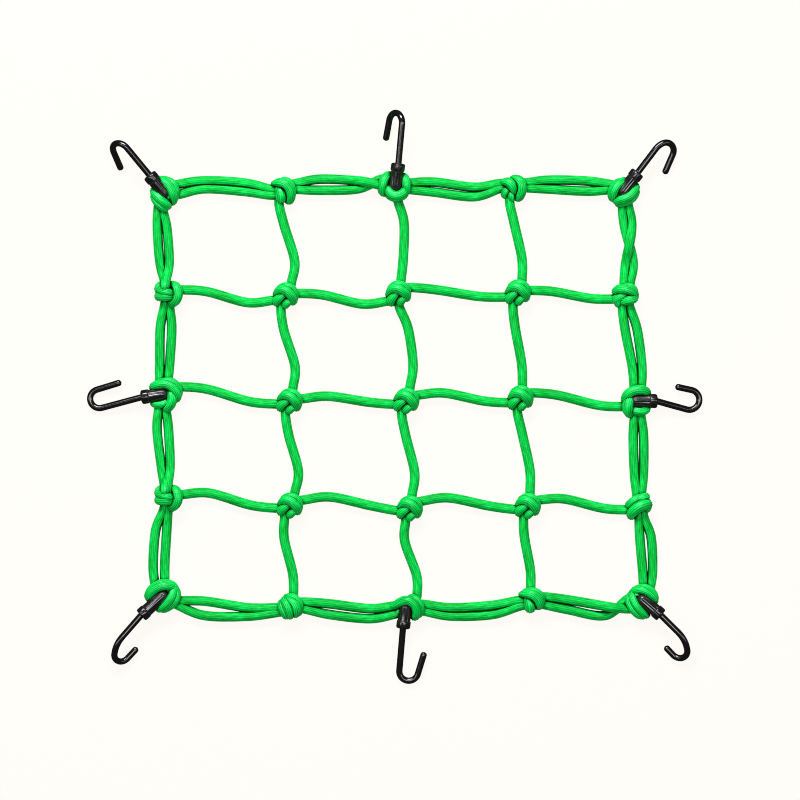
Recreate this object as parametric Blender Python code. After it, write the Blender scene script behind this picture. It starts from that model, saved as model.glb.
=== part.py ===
"""Luggage net: braided elastic cord tied into five rows of five knots, with eight wire hooks.

The net lies flat on a surface. Its rim is a doubled cord and the cords inside are single.
Sizes below are in millimetres and are turned to metres when a mesh is made.
X runs to the right, Y away from the viewer, Z up, and the net lies on Z = 0.
"""
import math

import bmesh
import bpy
from mathutils import Vector

MM = 0.001

# cord
CORD_RADIUS = 2.95         # free cord
CORD_RADIUS_AT_KNOT = 2.7  # the elastic is stretched thinner where it enters a knot
CORD_SIDES = 12
FLOOR_HEIGHT = 3.15        # cord centre where it lies on the surface
KNOT_HEIGHT = 6.8          # cord centre where it enters a knot
CROSSING_LIFT = 5.6        # how far a cord rises to pass over its neighbour
CROSSING_SPREAD = 0.13     # half length of that rise, as a share of the strand
CORD_INSIDE_KNOT = 4.5     # the strand ends this far from the knot's middle
CORD_ENTRY = 9.5           # the sideways offset at a knot is measured here
STRAND_RINGS = 16

# knots
CORE_RADIUS = 7.2
CORE_SIDES = 20
WRAP_SIDES = 12
WRAP_RINGS = 12
WRAP_END_HEIGHT = 4.2      # centre height of a wrap where it turns under the knot

# skin of the net
SKIN_STEP = 0.6            # distance between its points before it is thinned out
NET_TRIANGLES = 10600
FLAT_SPOT = 0.2            # anything of a knot lower than this is pressed flat

# hooks
WIRE_RADIUS = 2.25
WIRE_SIDES = 8
SLEEVE_RADIUS = 4.0
SLEEVE_SIDES = 12
SLEEVE_LENGTH = 18.5
COLLAR_RADIUS = 4.9
COLLAR_LENGTH = 5.5
BORE_RADIUS = 2.65
BORE_DEPTH = 12.0
SOCKET_GAP = 0.45          # room round the sleeve in its knot, measured at the corners
SEAT_GAP = 0.3             # gap between one piece and the next
HOOK_ROOT_HEIGHT = 8.2     # centre height of the sleeve's inner end

GREEN = (0.005, 0.60, 0.07, 1.0)
BLACK = (0.012, 0.011, 0.011, 1.0)
SLEEVE_BLACK = (0.02, 0.018, 0.018, 1.0)

# middle of each knot, one row of the net after another, from the far edge to the near edge
KNOTS = (
    ((-161.0, 142.1), (-77.7, 144.9), (0.0, 147.0), (83.0, 146.7), (160.0, 143.9)),
    ((-158.6, 72.5), (-76.3, 71.4), (2.5, 72.8), (86.1, 73.5), (161.0, 71.8)),
    ((-160.3, 1.8), (-73.5, -2.5), (8.1, -2.1), (87.9, -0.4), (169.1, -2.8)),
    ((-158.6, -70.0), (-73.2, -75.3), (10.5, -77.4), (93.0, -75.6), (170.5, -75.6)),
    ((-162.4, -138.6), (-73.2, -146.0), (10.5, -147.0), (95.6, -141.8), (172.9, -142.8)),
)

# Strands along the rows, from the left knot to the right one. Each offset is sideways from
# the straight line between the two knots, away from the viewer being positive.
# over is the share of the way at which the strand passes over its neighbour, 0 for none.
STRAND = ("row", "column", "leave", "third", "two_thirds", "arrive", "over")
ROW_STRANDS = (
    (0, 0, 7.1, 9.6, 7.6, 2.3, 0), (0, 0, 0.0, 3.1, -0.3, -2.6, 0),
    (0, 1, 6.1, 8.4, 5.3, 1.7, 0.80), (0, 1, 0.8, -0.7, -0.5, 7.3, 0),
    (0, 2, 3.9, 4.0, 0.9, 4.5, 0), (0, 2, -1.0, -2.8, -6.2, 0.6, 0),
    (0, 3, 5.1, 7.2, 7.4, 5.7, 0), (0, 3, 0.9, 0.4, 0.1, 1.7, 0),
    (1, 0, 3.3, 1.3, -4.3, -2.7, 0), (1, 1, 1.5, -0.3, -6.0, -4.8, 0),
    (1, 2, 4.4, 2.3, -1.8, -2.7, 0), (1, 3, 2.0, 1.4, -2.2, -2.7, 0),
    (2, 0, 6.5, 5.2, -0.8, -2.0, 0), (2, 1, 2.0, 3.4, -0.4, -2.1, 0),
    (2, 2, 4.1, 4.7, -0.5, -2.5, 0), (2, 3, 4.4, 2.8, -2.9, -3.5, 0),
    (3, 0, 2.9, 4.6, -0.8, -2.2, 0), (3, 1, 4.1, 6.4, 1.7, -1.5, 0),
    (3, 2, 5.2, 6.6, 1.1, -1.9, 0), (3, 3, 4.2, 4.3, -1.2, -2.6, 0),
    (4, 0, -2.0, -0.6, -2.7, -1.2, 0), (4, 0, -5.9, -11.2, -9.6, -5.7, 0),
    (4, 1, 3.3, 1.8, -0.6, 2.4, 0), (4, 1, -1.4, -5.6, -7.8, -4.1, 0),
    (4, 2, 2.6, -1.1, -1.1, 1.1, 0), (4, 2, -2.7, -7.6, -8.1, -3.5, 0),
    (4, 3, 2.9, 1.2, -3.0, -4.8, 0.72), (4, 3, -2.8, -6.0, -9.5, 3.4, 0),
)

# Strands along the columns, from the far knot to the near one, to the right being positive.
COLUMN_STRANDS = (
    (0, 0, -5.3, -6.4, -5.7, -3.6, 0), (0, 0, -1.1, 1.0, 1.4, -1.5, 0.92),
    (1, 0, -3.4, -5.0, -4.6, -4.5, 0), (1, 0, 2.0, 3.4, 2.4, 1.1, 0),
    (2, 0, -5.8, -6.9, -4.9, -3.6, 0), (2, 0, 0.7, 1.5, 1.7, -0.2, 0.92),
    (3, 0, -3.6, -7.9, -8.3, -6.4, 0), (3, 0, 0.2, 0.3, 0.1, 0.7, 0),
    (0, 1, -3.3, -0.1, 6.1, 3.7, 0), (1, 1, -3.5, -1.4, 4.4, 2.4, 0),
    (2, 1, -2.8, 0.0, 5.6, 3.2, 0), (3, 1, -3.9, -3.6, 1.7, 2.2, 0),
    (0, 2, 1.8, 5.1, 4.1, 2.0, 0), (1, 2, 0.0, 4.5, 6.1, 3.1, 0),
    (2, 2, -3.4, -0.7, 4.0, 1.7, 0), (3, 2, -2.8, -2.8, 4.3, 4.9, 0),
    (0, 3, -2.9, -1.1, 3.4, 3.2, 0), (1, 3, -3.7, -2.5, 1.2, 1.5, 0),
    (2, 3, -2.6, -0.6, 3.1, 2.2, 0), (3, 3, -3.0, -3.0, -0.1, -0.2, 0),
    (0, 4, 4.1, 6.1, 1.5, -0.3, 0.50), (0, 4, -0.8, 0.9, 6.9, 4.6, 0),
    (1, 4, -2.5, -2.4, -0.3, -0.6, 0), (1, 4, 3.7, 6.5, 7.0, 4.8, 0),
    (2, 4, -1.3, -2.2, -2.2, -1.2, 0), (2, 4, 3.9, 4.9, 4.3, 2.8, 0),
    (3, 4, 0.2, 0.4, 1.5, 1.5, 0), (3, 4, 4.8, 8.3, 8.6, 6.8, 0),
)

# Wraps of cord on the knots, seen from above and measured from the knot's middle.
# A wrap rises from one side, passes over the knot and goes down on the other side.
WRAP = ("from_x", "from_y", "over_x", "over_y", "to_x", "to_y", "radius", "height")
WRAPS_BY_KNOT = {
    "inner": (
        (-7.4, 3.4, 1.2, 3.7, 5.0, -6.0, 3.0, 11.2),
        (-5.4, 6.4, 4.1, 6.2, 7.6, -1.6, 2.4, 8.6),
        (-7.6, -4.2, -3.6, -1.4, 0.5, 1.2, 3.2, 9.6),
        (-1.6, -8.0, 0.9, -4.4, 3.0, -1.4, 2.6, 9.2),
    ),
    "far_left": (
        (-2.8, 12.2, 5.6, 4.6, 6.2, -5.6, 3.2, 10.6),
        (2.4, 11.0, 8.2, 5.2, 8.4, -1.6, 2.2, 8.0),
        (-8.2, 4.4, -3.8, -3.6, 3.2, -7.2, 2.7, 10.4),
        (-9.0, 0.4, -5.8, -6.2, 0.8, -9.8, 2.5, 8.2),
    ),
    "far_inner_left": (
        (-7.6, 4.8, 1.2, 4.8, 3.2, -7.2, 3.1, 11.4),
        (-2.6, 7.6, 5.2, 5.2, 6.4, -4.2, 2.4, 9.0),
        (-3.8, 2.8, -2.6, -2.0, -2.6, -7.4, 3.5, 9.2),
    ),
    "far_middle": (
        (-4.8, 10.2, -8.6, 3.0, -6.8, -4.4, 3.2, 9.4),
        (-5.4, 0.4, 1.0, -5.6, 7.2, -1.6, 3.4, 9.0),
        (6.8, 9.2, 8.2, 2.6, 7.6, -4.4, 3.0, 9.4),
    ),
    "far_inner_right": (
        (-1.4, 8.0, 5.2, 2.6, 2.4, -7.2, 3.1, 10.6),
        (-6.4, 5.4, -1.6, 2.4, 1.4, -2.6, 3.5, 10.8),
        (-6.4, -0.6, -5.0, -2.8, -3.4, -5.2, 2.6, 8.2),
        (-3.6, -4.8, -1.6, -6.0, 0.2, -7.4, 2.4, 7.8),
    ),
    "far_right": (
        (0.6, 9.6, -5.6, 4.2, -7.0, -4.6, 3.1, 10.4),
        (-5.4, 8.2, -9.0, 2.2, -9.0, -3.2, 2.2, 7.8),
        (9.2, 3.8, 4.6, -2.8, -4.8, -5.6, 2.5, 10.2),
        (10.2, 0.4, 5.2, -6.2, -4.6, -8.0, 2.6, 8.4),
    ),
    "left_side": (
        (1.4, 8.0, 6.2, 0.5, 0.4, -7.2, 3.1, 9.8),
        (-8.2, 2.6, -2.6, 2.0, 2.4, 0.8, 2.4, 11.4),
        (-8.6, -1.2, -3.2, -1.6, 2.2, -1.4, 2.8, 11.0),
        (-5.4, 7.6, -7.6, 5.0, -8.6, 1.6, 2.1, 8.0),
    ),
    "right_inner": (
        (-8.2, 2.0, -1.0, 4.8, 7.4, 3.2, 3.3, 10.6),
        (1.6, 7.6, 5.4, 6.0, 8.2, 2.0, 2.2, 9.0),
        (-7.6, -1.6, -4.4, -1.6, 0.2, -1.0, 2.9, 9.2),
        (-1.4, -3.6, 3.4, -3.0, 7.6, -1.6, 3.1, 9.8),
    ),
    "left_hook": (
        (-10.2, 6.6, 3.0, 9.2, 9.2, -2.8, 2.6, 9.0),
        (-9.8, 5.6, 2.0, 6.6, 7.8, -3.4, 2.5, 10.6),
        (2.6, 1.8, 4.0, -3.4, -0.6, -9.6, 3.1, 9.8),
        (-9.2, -5.8, -4.4, -5.6, 0.0, -5.0, 2.6, 7.6),
    ),
    "right_hook": (
        (-9.2, 2.6, -2.0, 7.2, 8.2, 7.8, 3.2, 10.0),
        (-5.0, 2.8, -6.6, -3.0, -4.4, -9.8, 3.4, 9.8),
        (-2.4, -6.2, 2.6, -7.0, 8.0, -5.4, 2.8, 8.0),
    ),
    "right_outer": (
        (-7.4, -4.8, 0.5, -0.6, 8.2, 3.2, 3.4, 11.0),
        (-2.0, 4.6, 3.4, 6.4, 7.2, 7.6, 2.6, 9.6),
        (-8.2, 1.4, -5.4, 4.4, -1.4, 7.2, 2.7, 8.8),
        (-6.8, -4.2, -5.4, -6.2, -3.0, -8.4, 2.3, 7.2),
    ),
    "near_left": (
        (-11.2, -1.2, -4.4, 8.0, 8.2, 8.2, 2.9, 9.2),
        (-9.8, -2.2, -3.4, 4.8, 7.4, 6.0, 2.3, 10.6),
        (10.8, 4.2, 8.4, -3.0, -2.0, -9.6, 2.9, 9.0),
        (7.4, 5.2, 5.8, -1.6, -4.8, -8.8, 2.5, 10.4),
    ),
    "near_inner_left": (
        (-5.4, 5.2, -3.8, 0.0, -0.2, -6.2, 3.7, 10.4),
        (-2.4, 5.2, 2.8, 2.4, 3.0, -5.2, 2.9, 10.4),
        (-3.4, 7.6, 5.0, 5.4, 7.0, -3.0, 2.5, 8.6),
    ),
    "near_middle": (
        (-9.6, 3.2, 2.0, 4.2, 2.4, -7.6, 2.9, 12.6),
        (0.0, 8.0, 6.4, 4.0, 6.6, -4.8, 2.6, 9.4),
        (-8.6, -4.2, -7.6, -2.4, -6.2, -0.8, 1.9, 6.4),
    ),
    "near_inner_right": (
        (-8.0, 4.4, 0.5, 4.8, 5.4, -4.8, 3.1, 11.2),
        (-5.2, 7.2, 4.2, 6.0, 7.6, -2.0, 2.4, 8.8),
        (-3.4, 1.8, -1.2, -2.6, -0.8, -7.2, 3.7, 9.6),
    ),
    "near_right": (
        (-5.6, 9.2, 4.0, 9.4, 9.8, 1.2, 2.8, 9.0),
        (-5.8, 6.8, 2.8, 6.8, 9.2, -0.4, 2.3, 10.4),
        (-9.4, 4.4, -7.0, -3.0, 2.0, -10.0, 2.9, 9.0),
        (-7.6, 6.6, -4.4, -1.6, 4.4, -9.2, 2.5, 10.4),
    ),
}

# which wraps each knot has, laid out as the knots are
KNOT_KINDS = (
    ("far_left", "far_inner_left", "far_middle", "far_inner_right", "far_right"),
    ("left_side", "inner", "inner", "inner", "right_inner"),
    ("left_hook", "inner", "inner", "inner", "right_hook"),
    ("left_side", "inner", "inner", "inner", "right_outer"),
    ("near_left", "near_inner_left", "near_middle", "near_inner_right", "near_right"),
)
CORE_TOP = 12.4
HOOK_CORE_TOP = 9.0

# Hooks. root is the sleeve's inner end, measured from the knot. Headings are in degrees
# counter-clockwise from +X. side is 1 where the wire bends to the left of its heading and
# -1 to the right. roll is how far the bend leans down from level. lead is the gentle start
# of the bend, and tip the length of the straight end.
HOOK = ("name", "row", "column", "root_x", "root_y", "sleeve_heading", "heading", "side", "roll",
        "shank", "lead_radius", "lead_angle", "bend_radius", "sweep", "tip")
HOOKS = (
    ("far_left", 0, 0, 2.4, -0.9, 130.0, 130.4, 1, 47, 26.3, 7.0, 10, 7.0, 166, 12.6),
    ("far_middle", 0, 2, 0.2, -1.5, 83.0, 84.8, 1, 45, 27.6, 7.0, 10, 7.0, 172, 13.2),
    ("far_right", 0, 4, -1.7, -0.8, 52.0, 52.8, -1, 28, 21.5, 12.0, 30, 6.5, 172, 13.2),
    ("left", 2, 0, 1.3, 1.6, 189.0, 194.8, -1, 0, 29.2, 6.6, 10, 6.6, 178, 16.2),
    ("right", 2, 4, -4.4, 0.9, -1.0, -15.3, 1, 0, 22.6, 7.0, 10, 7.0, 183, 9.8),
    ("near_left", 4, 0, -1.3, -0.9, 222.0, 229.0, 1, 35, 20.2, 20.0, 40, 6.0, 178, 6.2),
    ("near_middle", 4, 2, -3.0, 4.3, 263.0, 264.3, 1, 0, 30.2, 6.9, 10, 6.9, 168, 14.2),
    ("near_right", 4, 4, -1.0, 3.1, -41.0, -44.8, -1, 32, 17.4, 20.0, 42, 6.3, 182, 6.8),
)


def rows(columns, table):
    """Each row of a table with its column names."""
    return [dict(zip(columns, row)) for row in table]


def clear_scene():
    for item in list(bpy.data.objects):
        bpy.data.objects.remove(item, do_unlink=True)


def material(name, colour, roughness):
    made = bpy.data.materials.new(name)
    made.use_nodes = True
    shader = made.node_tree.nodes["Principled BSDF"]
    shader.inputs["Base Color"].default_value = colour
    shader.inputs["Roughness"].default_value = roughness
    return made


def through(points, share):
    """The point at a share of the way along a smooth curve through the given points."""
    spans = len(points) - 1
    place = min(max(share, 0.0), 1.0) * spans
    i = min(int(place), spans - 1)
    t = place - i
    b = points[i]
    c = points[i + 1]
    a = points[i - 1] if i > 0 else b + (b - c)
    d = points[i + 2] if i + 2 <= spans else c + (c - b)
    return 0.5 * (2 * b + (c - a) * t + (2 * a - 5 * b + 4 * c - d) * t ** 2
                  + (3 * b - a - 3 * c + d) * t ** 3)


def add_rings(mesh, rings):
    """Join rings of vertices into one closed skin with flat ends."""
    made = [[mesh.verts.new(point * MM) for point in ring] for ring in rings]
    count = len(made[0])
    for near, far in zip(made, made[1:]):
        for i in range(count):
            j = (i + 1) % count
            mesh.faces.new((near[i], near[j], far[j], far[i]))
    mesh.faces.new(list(reversed(made[0])))
    mesh.faces.new(made[-1])


def tube_rings(points, radii, sides):
    """Round sections along a path, kept from twisting."""
    rings = []
    side = None
    for i, point in enumerate(points):
        ahead = points[min(i + 1, len(points) - 1)]
        behind = points[max(i - 1, 0)]
        along = (ahead - behind).normalized()
        if side is None:
            side = along.cross(Vector((0, 0, 1)))
            if side.length < 0.2:
                side = along.cross(Vector((0, 1, 0)))
        side = (side - along * side.dot(along)).normalized()
        up = side.cross(along)
        ring = []
        for k in range(sides):
            turn = 2 * math.pi * (k + 0.5) / sides
            ring.append(point + radii[i] * (math.cos(turn) * side + math.sin(turn) * up))
        rings.append(ring)
    return rings


def new_object(name, mesh):
    """Turn a bmesh into an object with its faces pointing out."""
    bmesh.ops.recalc_face_normals(mesh, faces=mesh.faces)
    data = bpy.data.meshes.new(name)
    mesh.to_mesh(data)
    mesh.free()
    item = bpy.data.objects.new(name, data)
    bpy.context.scene.collection.objects.link(item)
    return item


def knot_at(row, column):
    x, y = KNOTS[row][column]
    return Vector((x, y, 0.0))


def strand_path(strand, next_row, next_column):
    """Points along one strand, from inside its first knot to inside the next one."""
    start = knot_at(strand["row"], strand["column"])
    end = knot_at(next_row, next_column)
    span = (end - start).length
    along = (end - start) / span
    # away from the viewer on a row, to the right on a column
    across = Vector((-along.y, along.x, 0.0))
    entry = CORD_ENTRY / span
    inside = CORD_INSIDE_KNOT / span
    marks = (
        (inside, strand["leave"] * 0.75, KNOT_HEIGHT),
        (entry, strand["leave"], KNOT_HEIGHT - 0.6),
        (1 / 3, strand["third"], FLOOR_HEIGHT),
        (2 / 3, strand["two_thirds"], FLOOR_HEIGHT),
        (1 - entry, strand["arrive"], KNOT_HEIGHT - 0.6),
        (1 - inside, strand["arrive"] * 0.75, KNOT_HEIGHT),
    )
    points = []
    for share, offset, height in marks:
        points.append(start + along * span * share + across * offset + Vector((0, 0, height)))
    path = []
    for i in range(STRAND_RINGS):
        point = through(points, i / (STRAND_RINGS - 1))
        share = (point - start).dot(along) / span
        if strand["over"]:
            rise = math.exp(-((share - strand["over"]) / CROSSING_SPREAD) ** 2)
            point.z += CROSSING_LIFT * rise
        point.z = max(point.z, FLOOR_HEIGHT)
        path.append(point)
    return path


def add_strand(mesh, path):
    radii = []
    last = len(path) - 1
    for i in range(len(path)):
        middle = math.sin(math.pi * i / last) ** 0.5
        radii.append(CORD_RADIUS_AT_KNOT + (CORD_RADIUS - CORD_RADIUS_AT_KNOT) * middle)
    add_rings(mesh, tube_rings(path, radii, CORD_SIDES))


def add_core(mesh, centre, top):
    """The rounded middle of a knot, with a flat spot where it lies on the surface."""
    levels = ((0.0, 0.6), (0.14, 0.9), (0.45, 1.0), (0.8, 0.8), (1.0, 0.3))
    rings = []
    for height, width in levels:
        ring = []
        for k in range(CORE_SIDES):
            turn = 2 * math.pi * k / CORE_SIDES
            flat = Vector((math.cos(turn), math.sin(turn), 0)) * CORE_RADIUS * width
            ring.append(centre + flat + Vector((0, 0, height * top)))
        rings.append(ring)
    add_rings(mesh, rings)


def add_wrap(mesh, centre, wrap):
    """One turn of cord over a knot, as a fat tube with both ends sunk in the knot."""
    first = Vector((wrap["from_x"], wrap["from_y"], WRAP_END_HEIGHT))
    over = Vector((wrap["over_x"], wrap["over_y"], wrap["height"]))
    last = Vector((wrap["to_x"], wrap["to_y"], WRAP_END_HEIGHT))
    # control point of the arc that passes through the middle point
    pull = over * 2 - (first + last) / 2
    points = []
    radii = []
    for i in range(WRAP_RINGS):
        t = i / (WRAP_RINGS - 1)
        flat = first * (1 - t) ** 2 + pull * 2 * t * (1 - t) + last * t ** 2
        rise = math.sin(math.pi * t) ** 0.7
        flat.z = WRAP_END_HEIGHT + (wrap["height"] - WRAP_END_HEIGHT) * rise
        points.append(centre + flat)
        radii.append(wrap["radius"] * (0.72 + 0.28 * math.sin(math.pi * t) ** 0.5))
    add_rings(mesh, tube_rings(points, radii, WRAP_SIDES))


def hook_frame(hook, pitch):
    """Directions of a hook: along its sleeve, along its shank and towards its tip."""
    level = math.cos(pitch)
    rise = Vector((0, 0, math.sin(pitch)))
    turn = math.radians(hook["sleeve_heading"])
    sleeve = Vector((math.cos(turn), math.sin(turn), 0)) * level + rise
    turn = math.radians(hook["heading"])
    shank = Vector((math.cos(turn), math.sin(turn), 0)) * level + rise
    left = Vector((-math.sin(turn), math.cos(turn), 0))
    up = shank.cross(left)
    roll = math.radians(hook["roll"])
    tip = left * hook["side"] * math.cos(roll) - up * math.sin(roll)
    return sleeve, shank, tip


def hook_root(hook):
    knot = knot_at(hook["row"], hook["column"])
    return knot + Vector((hook["root_x"], hook["root_y"], HOOK_ROOT_HEIGHT))


def wire_path(hook, pitch):
    """Centre line of the wire, from inside the sleeve to the tip."""
    sleeve, shank, tip = hook_frame(hook, pitch)
    root = hook_root(hook)
    mouth = root + sleeve * SLEEVE_LENGTH
    path = [mouth - sleeve * (BORE_DEPTH - SEAT_GAP), mouth - sleeve * 1.0, mouth + shank * 2.5]
    bend = mouth + shank * hook["shank"]
    path.append(bend)
    # the bend starts on a wide arc and goes on with a tight one
    steps = 9
    lead = math.radians(hook["lead_angle"])
    sweep = math.radians(hook["sweep"])
    wide = hook["lead_radius"]
    tight = hook["bend_radius"]
    for i in range(1, steps + 1):
        turn = sweep * i / steps
        if turn <= lead:
            forward = wide * math.sin(turn)
            aside = wide * (1 - math.cos(turn))
        else:
            forward = wide * math.sin(lead) + tight * (math.sin(turn) - math.sin(lead))
            aside = wide * (1 - math.cos(lead)) + tight * (math.cos(lead) - math.cos(turn))
        path.append(bend + shank * forward + tip * aside)
    out = shank * math.cos(sweep) + tip * math.sin(sweep)
    path.append(path[-1] + out * hook["tip"])
    path.append(path[-1] + out * WIRE_RADIUS * 0.6)
    path.append(path[-1] + out * WIRE_RADIUS * 0.4)
    return path


def hook_pitch(hook):
    """The slope at which the hook's bend or tip lies on the surface."""
    low = math.radians(-20)
    high = math.radians(20)
    for _ in range(30):
        middle = (low + high) / 2
        lowest = min(point.z for point in wire_path(hook, middle)[3:])
        if lowest > WIRE_RADIUS + 0.1:
            high = middle
        else:
            low = middle
    return high


def make_wire(hook, pitch):
    path = wire_path(hook, pitch)
    radii = [WIRE_RADIUS] * (len(path) - 2) + [WIRE_RADIUS * 0.8, WIRE_RADIUS * 0.4]
    mesh = bmesh.new()
    add_rings(mesh, tube_rings(path, radii, WIRE_SIDES))
    return new_object("hook_wire_" + hook["name"], mesh)


def lathe_rings(start, along, profile, sides):
    """Rings of a turned piece. The profile gives distances along and radii."""
    side = along.cross(Vector((0, 0, 1))).normalized()
    up = side.cross(along)
    rings = []
    for distance, radius in profile:
        ring = []
        for k in range(sides):
            turn = 2 * math.pi * (k + 0.5) / sides
            ring.append(start + along * distance
                        + radius * (math.cos(turn) * side + math.sin(turn) * up))
        rings.append(ring)
    return rings


def make_sleeve(hook, pitch):
    """The moulded sleeve, open at its mouth, where the wire goes in."""
    sleeve = hook_frame(hook, pitch)[0]
    collar = SLEEVE_LENGTH - COLLAR_LENGTH
    profile = (
        (0.0, SLEEVE_RADIUS * 0.45),
        (0.9, SLEEVE_RADIUS * 0.82),
        (2.6, SLEEVE_RADIUS),
        (collar, SLEEVE_RADIUS + 0.3),
        (collar + 0.5, COLLAR_RADIUS),
        (SLEEVE_LENGTH - 0.8, COLLAR_RADIUS),
        (SLEEVE_LENGTH, COLLAR_RADIUS - 0.7),
        (SLEEVE_LENGTH, BORE_RADIUS),
        (SLEEVE_LENGTH - BORE_DEPTH, BORE_RADIUS),
    )
    mesh = bmesh.new()
    add_rings(mesh, lathe_rings(hook_root(hook), sleeve, profile, SLEEVE_SIDES))
    return new_object("hook_sleeve_" + hook["name"], mesh)


def add_socket(mesh, hook, pitch):
    """The room that the sleeve takes in its knot."""
    sleeve = hook_frame(hook, pitch)[0]
    collar = SLEEVE_LENGTH - COLLAR_LENGTH
    profile = (
        (-SOCKET_GAP, SLEEVE_RADIUS * 0.45 + SOCKET_GAP),
        (0.6, SLEEVE_RADIUS * 0.82 + SOCKET_GAP),
        (2.4, SLEEVE_RADIUS + SOCKET_GAP),
        (collar - 0.6, SLEEVE_RADIUS + 0.3 + SOCKET_GAP),
        (collar - 0.1, COLLAR_RADIUS + SOCKET_GAP),
        (SLEEVE_LENGTH + 6, COLLAR_RADIUS + SOCKET_GAP),
    )
    add_rings(mesh, lathe_rings(hook_root(hook), sleeve, profile, SLEEVE_SIDES))


def apply_modifiers(item):
    """Keep the shape that an object's modifiers give it as its own mesh."""
    graph = bpy.context.evaluated_depsgraph_get()
    solid = bpy.data.meshes.new_from_object(item.evaluated_get(graph))
    item.modifiers.clear()
    item.data = solid


def cut_out(base, other):
    """Cut one solid out of another."""
    other.hide_render = True
    other.display_type = "WIRE"
    change = base.modifiers.new("cut", "BOOLEAN")
    change.operation = "DIFFERENCE"
    change.solver = "EXACT"
    change.object = other
    apply_modifiers(base)
    bpy.data.objects.remove(other, do_unlink=True)


def keep_outer_skin(mesh):
    """Drop the small closed pockets that are left between wraps inside a knot."""
    shells = []
    seen = set()
    for vert in mesh.verts:
        if vert in seen:
            continue
        seen.add(vert)
        shell = [vert]
        for member in shell:
            for edge in member.link_edges:
                other = edge.other_vert(member)
                if other not in seen:
                    seen.add(other)
                    shell.append(other)
        shells.append(shell)
    shells.sort(key=len)
    inner = [vert for shell in shells[:-1] for vert in shell]
    bmesh.ops.delete(mesh, geom=inner, context="VERTS")


def fuse(item):
    """Turn overlapping cords and knots into one closed skin with few triangles."""
    skin = item.modifiers.new("skin", "REMESH")
    skin.mode = "VOXEL"
    skin.voxel_size = SKIN_STEP * MM
    apply_modifiers(item)
    mesh = bmesh.new()
    mesh.from_mesh(item.data)
    keep_outer_skin(mesh)
    bmesh.ops.triangulate(mesh, faces=mesh.faces)
    count = len(mesh.faces)
    mesh.to_mesh(item.data)
    mesh.free()
    thin = item.modifiers.new("thin", "DECIMATE")
    thin.ratio = NET_TRIANGLES / count
    apply_modifiers(item)
    # the knots lie flat on the surface
    for vert in item.data.vertices:
        if vert.co.z < FLAT_SPOT * MM:
            vert.co.z = 0.0


def make_net(hooks):
    """All strands and knots of the net as one solid, with a socket for each sleeve."""
    hooked = {(hook["row"], hook["column"]) for hook, _ in hooks}
    cords = bmesh.new()
    for row, kinds in enumerate(KNOT_KINDS):
        for column, kind in enumerate(kinds):
            centre = knot_at(row, column)
            top = HOOK_CORE_TOP if (row, column) in hooked else CORE_TOP
            add_core(cords, centre, top)
            for wrap in rows(WRAP, WRAPS_BY_KNOT[kind]):
                add_wrap(cords, centre, wrap)
    for strand in rows(STRAND, ROW_STRANDS):
        add_strand(cords, strand_path(strand, strand["row"], strand["column"] + 1))
    for strand in rows(STRAND, COLUMN_STRANDS):
        add_strand(cords, strand_path(strand, strand["row"] + 1, strand["column"]))
    net = new_object("net", cords)
    fuse(net)
    sockets = bmesh.new()
    for hook, pitch in hooks:
        add_socket(sockets, hook, pitch)
    cut_out(net, new_object("sockets", sockets))
    return net


def tidy_mesh(item):
    """Split every face into triangles."""
    mesh = bmesh.new()
    mesh.from_mesh(item.data)
    bmesh.ops.triangulate(mesh, faces=mesh.faces)
    mesh.to_mesh(item.data)
    mesh.free()


def smooth(item):
    for face in item.data.polygons:
        face.use_smooth = True


def main():
    clear_scene()
    hooks = [(hook, hook_pitch(hook)) for hook in rows(HOOK, HOOKS)]
    net = make_net(hooks)
    net.data.materials.clear()
    net.data.materials.append(material("green_cord", GREEN, 0.55))
    wire_finish = material("coated_wire", BLACK, 0.2)
    sleeve_finish = material("moulded_sleeve", SLEEVE_BLACK, 0.35)
    made = [net]
    for hook, pitch in hooks:
        wire = make_wire(hook, pitch)
        wire.data.materials.append(wire_finish)
        sleeve = make_sleeve(hook, pitch)
        sleeve.data.materials.append(sleeve_finish)
        made += [wire, sleeve]
    for item in made:
        tidy_mesh(item)
        smooth(item)


main()
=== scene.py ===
"""Looks of a luggage net: braided elastic cord tied into knots, with coated wire hooks in moulded sleeves.

Tables below are in millimetres, measured as a maker would from the net laid out on a bench:
X to the right, Y away from the viewer, Z up from the surface.
"""
import math

import bpy
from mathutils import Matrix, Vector


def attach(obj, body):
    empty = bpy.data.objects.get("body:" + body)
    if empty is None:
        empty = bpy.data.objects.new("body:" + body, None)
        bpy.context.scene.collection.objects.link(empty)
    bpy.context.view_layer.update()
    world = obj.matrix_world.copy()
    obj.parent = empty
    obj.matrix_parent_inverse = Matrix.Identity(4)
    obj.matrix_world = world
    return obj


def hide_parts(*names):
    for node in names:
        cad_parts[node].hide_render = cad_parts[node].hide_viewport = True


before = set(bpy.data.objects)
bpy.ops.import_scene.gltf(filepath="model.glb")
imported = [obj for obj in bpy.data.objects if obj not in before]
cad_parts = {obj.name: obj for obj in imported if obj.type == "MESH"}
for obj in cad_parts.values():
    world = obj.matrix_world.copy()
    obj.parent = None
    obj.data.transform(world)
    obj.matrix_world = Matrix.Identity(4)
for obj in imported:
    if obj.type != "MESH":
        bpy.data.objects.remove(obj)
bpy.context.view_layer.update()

MM = 0.001

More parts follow.
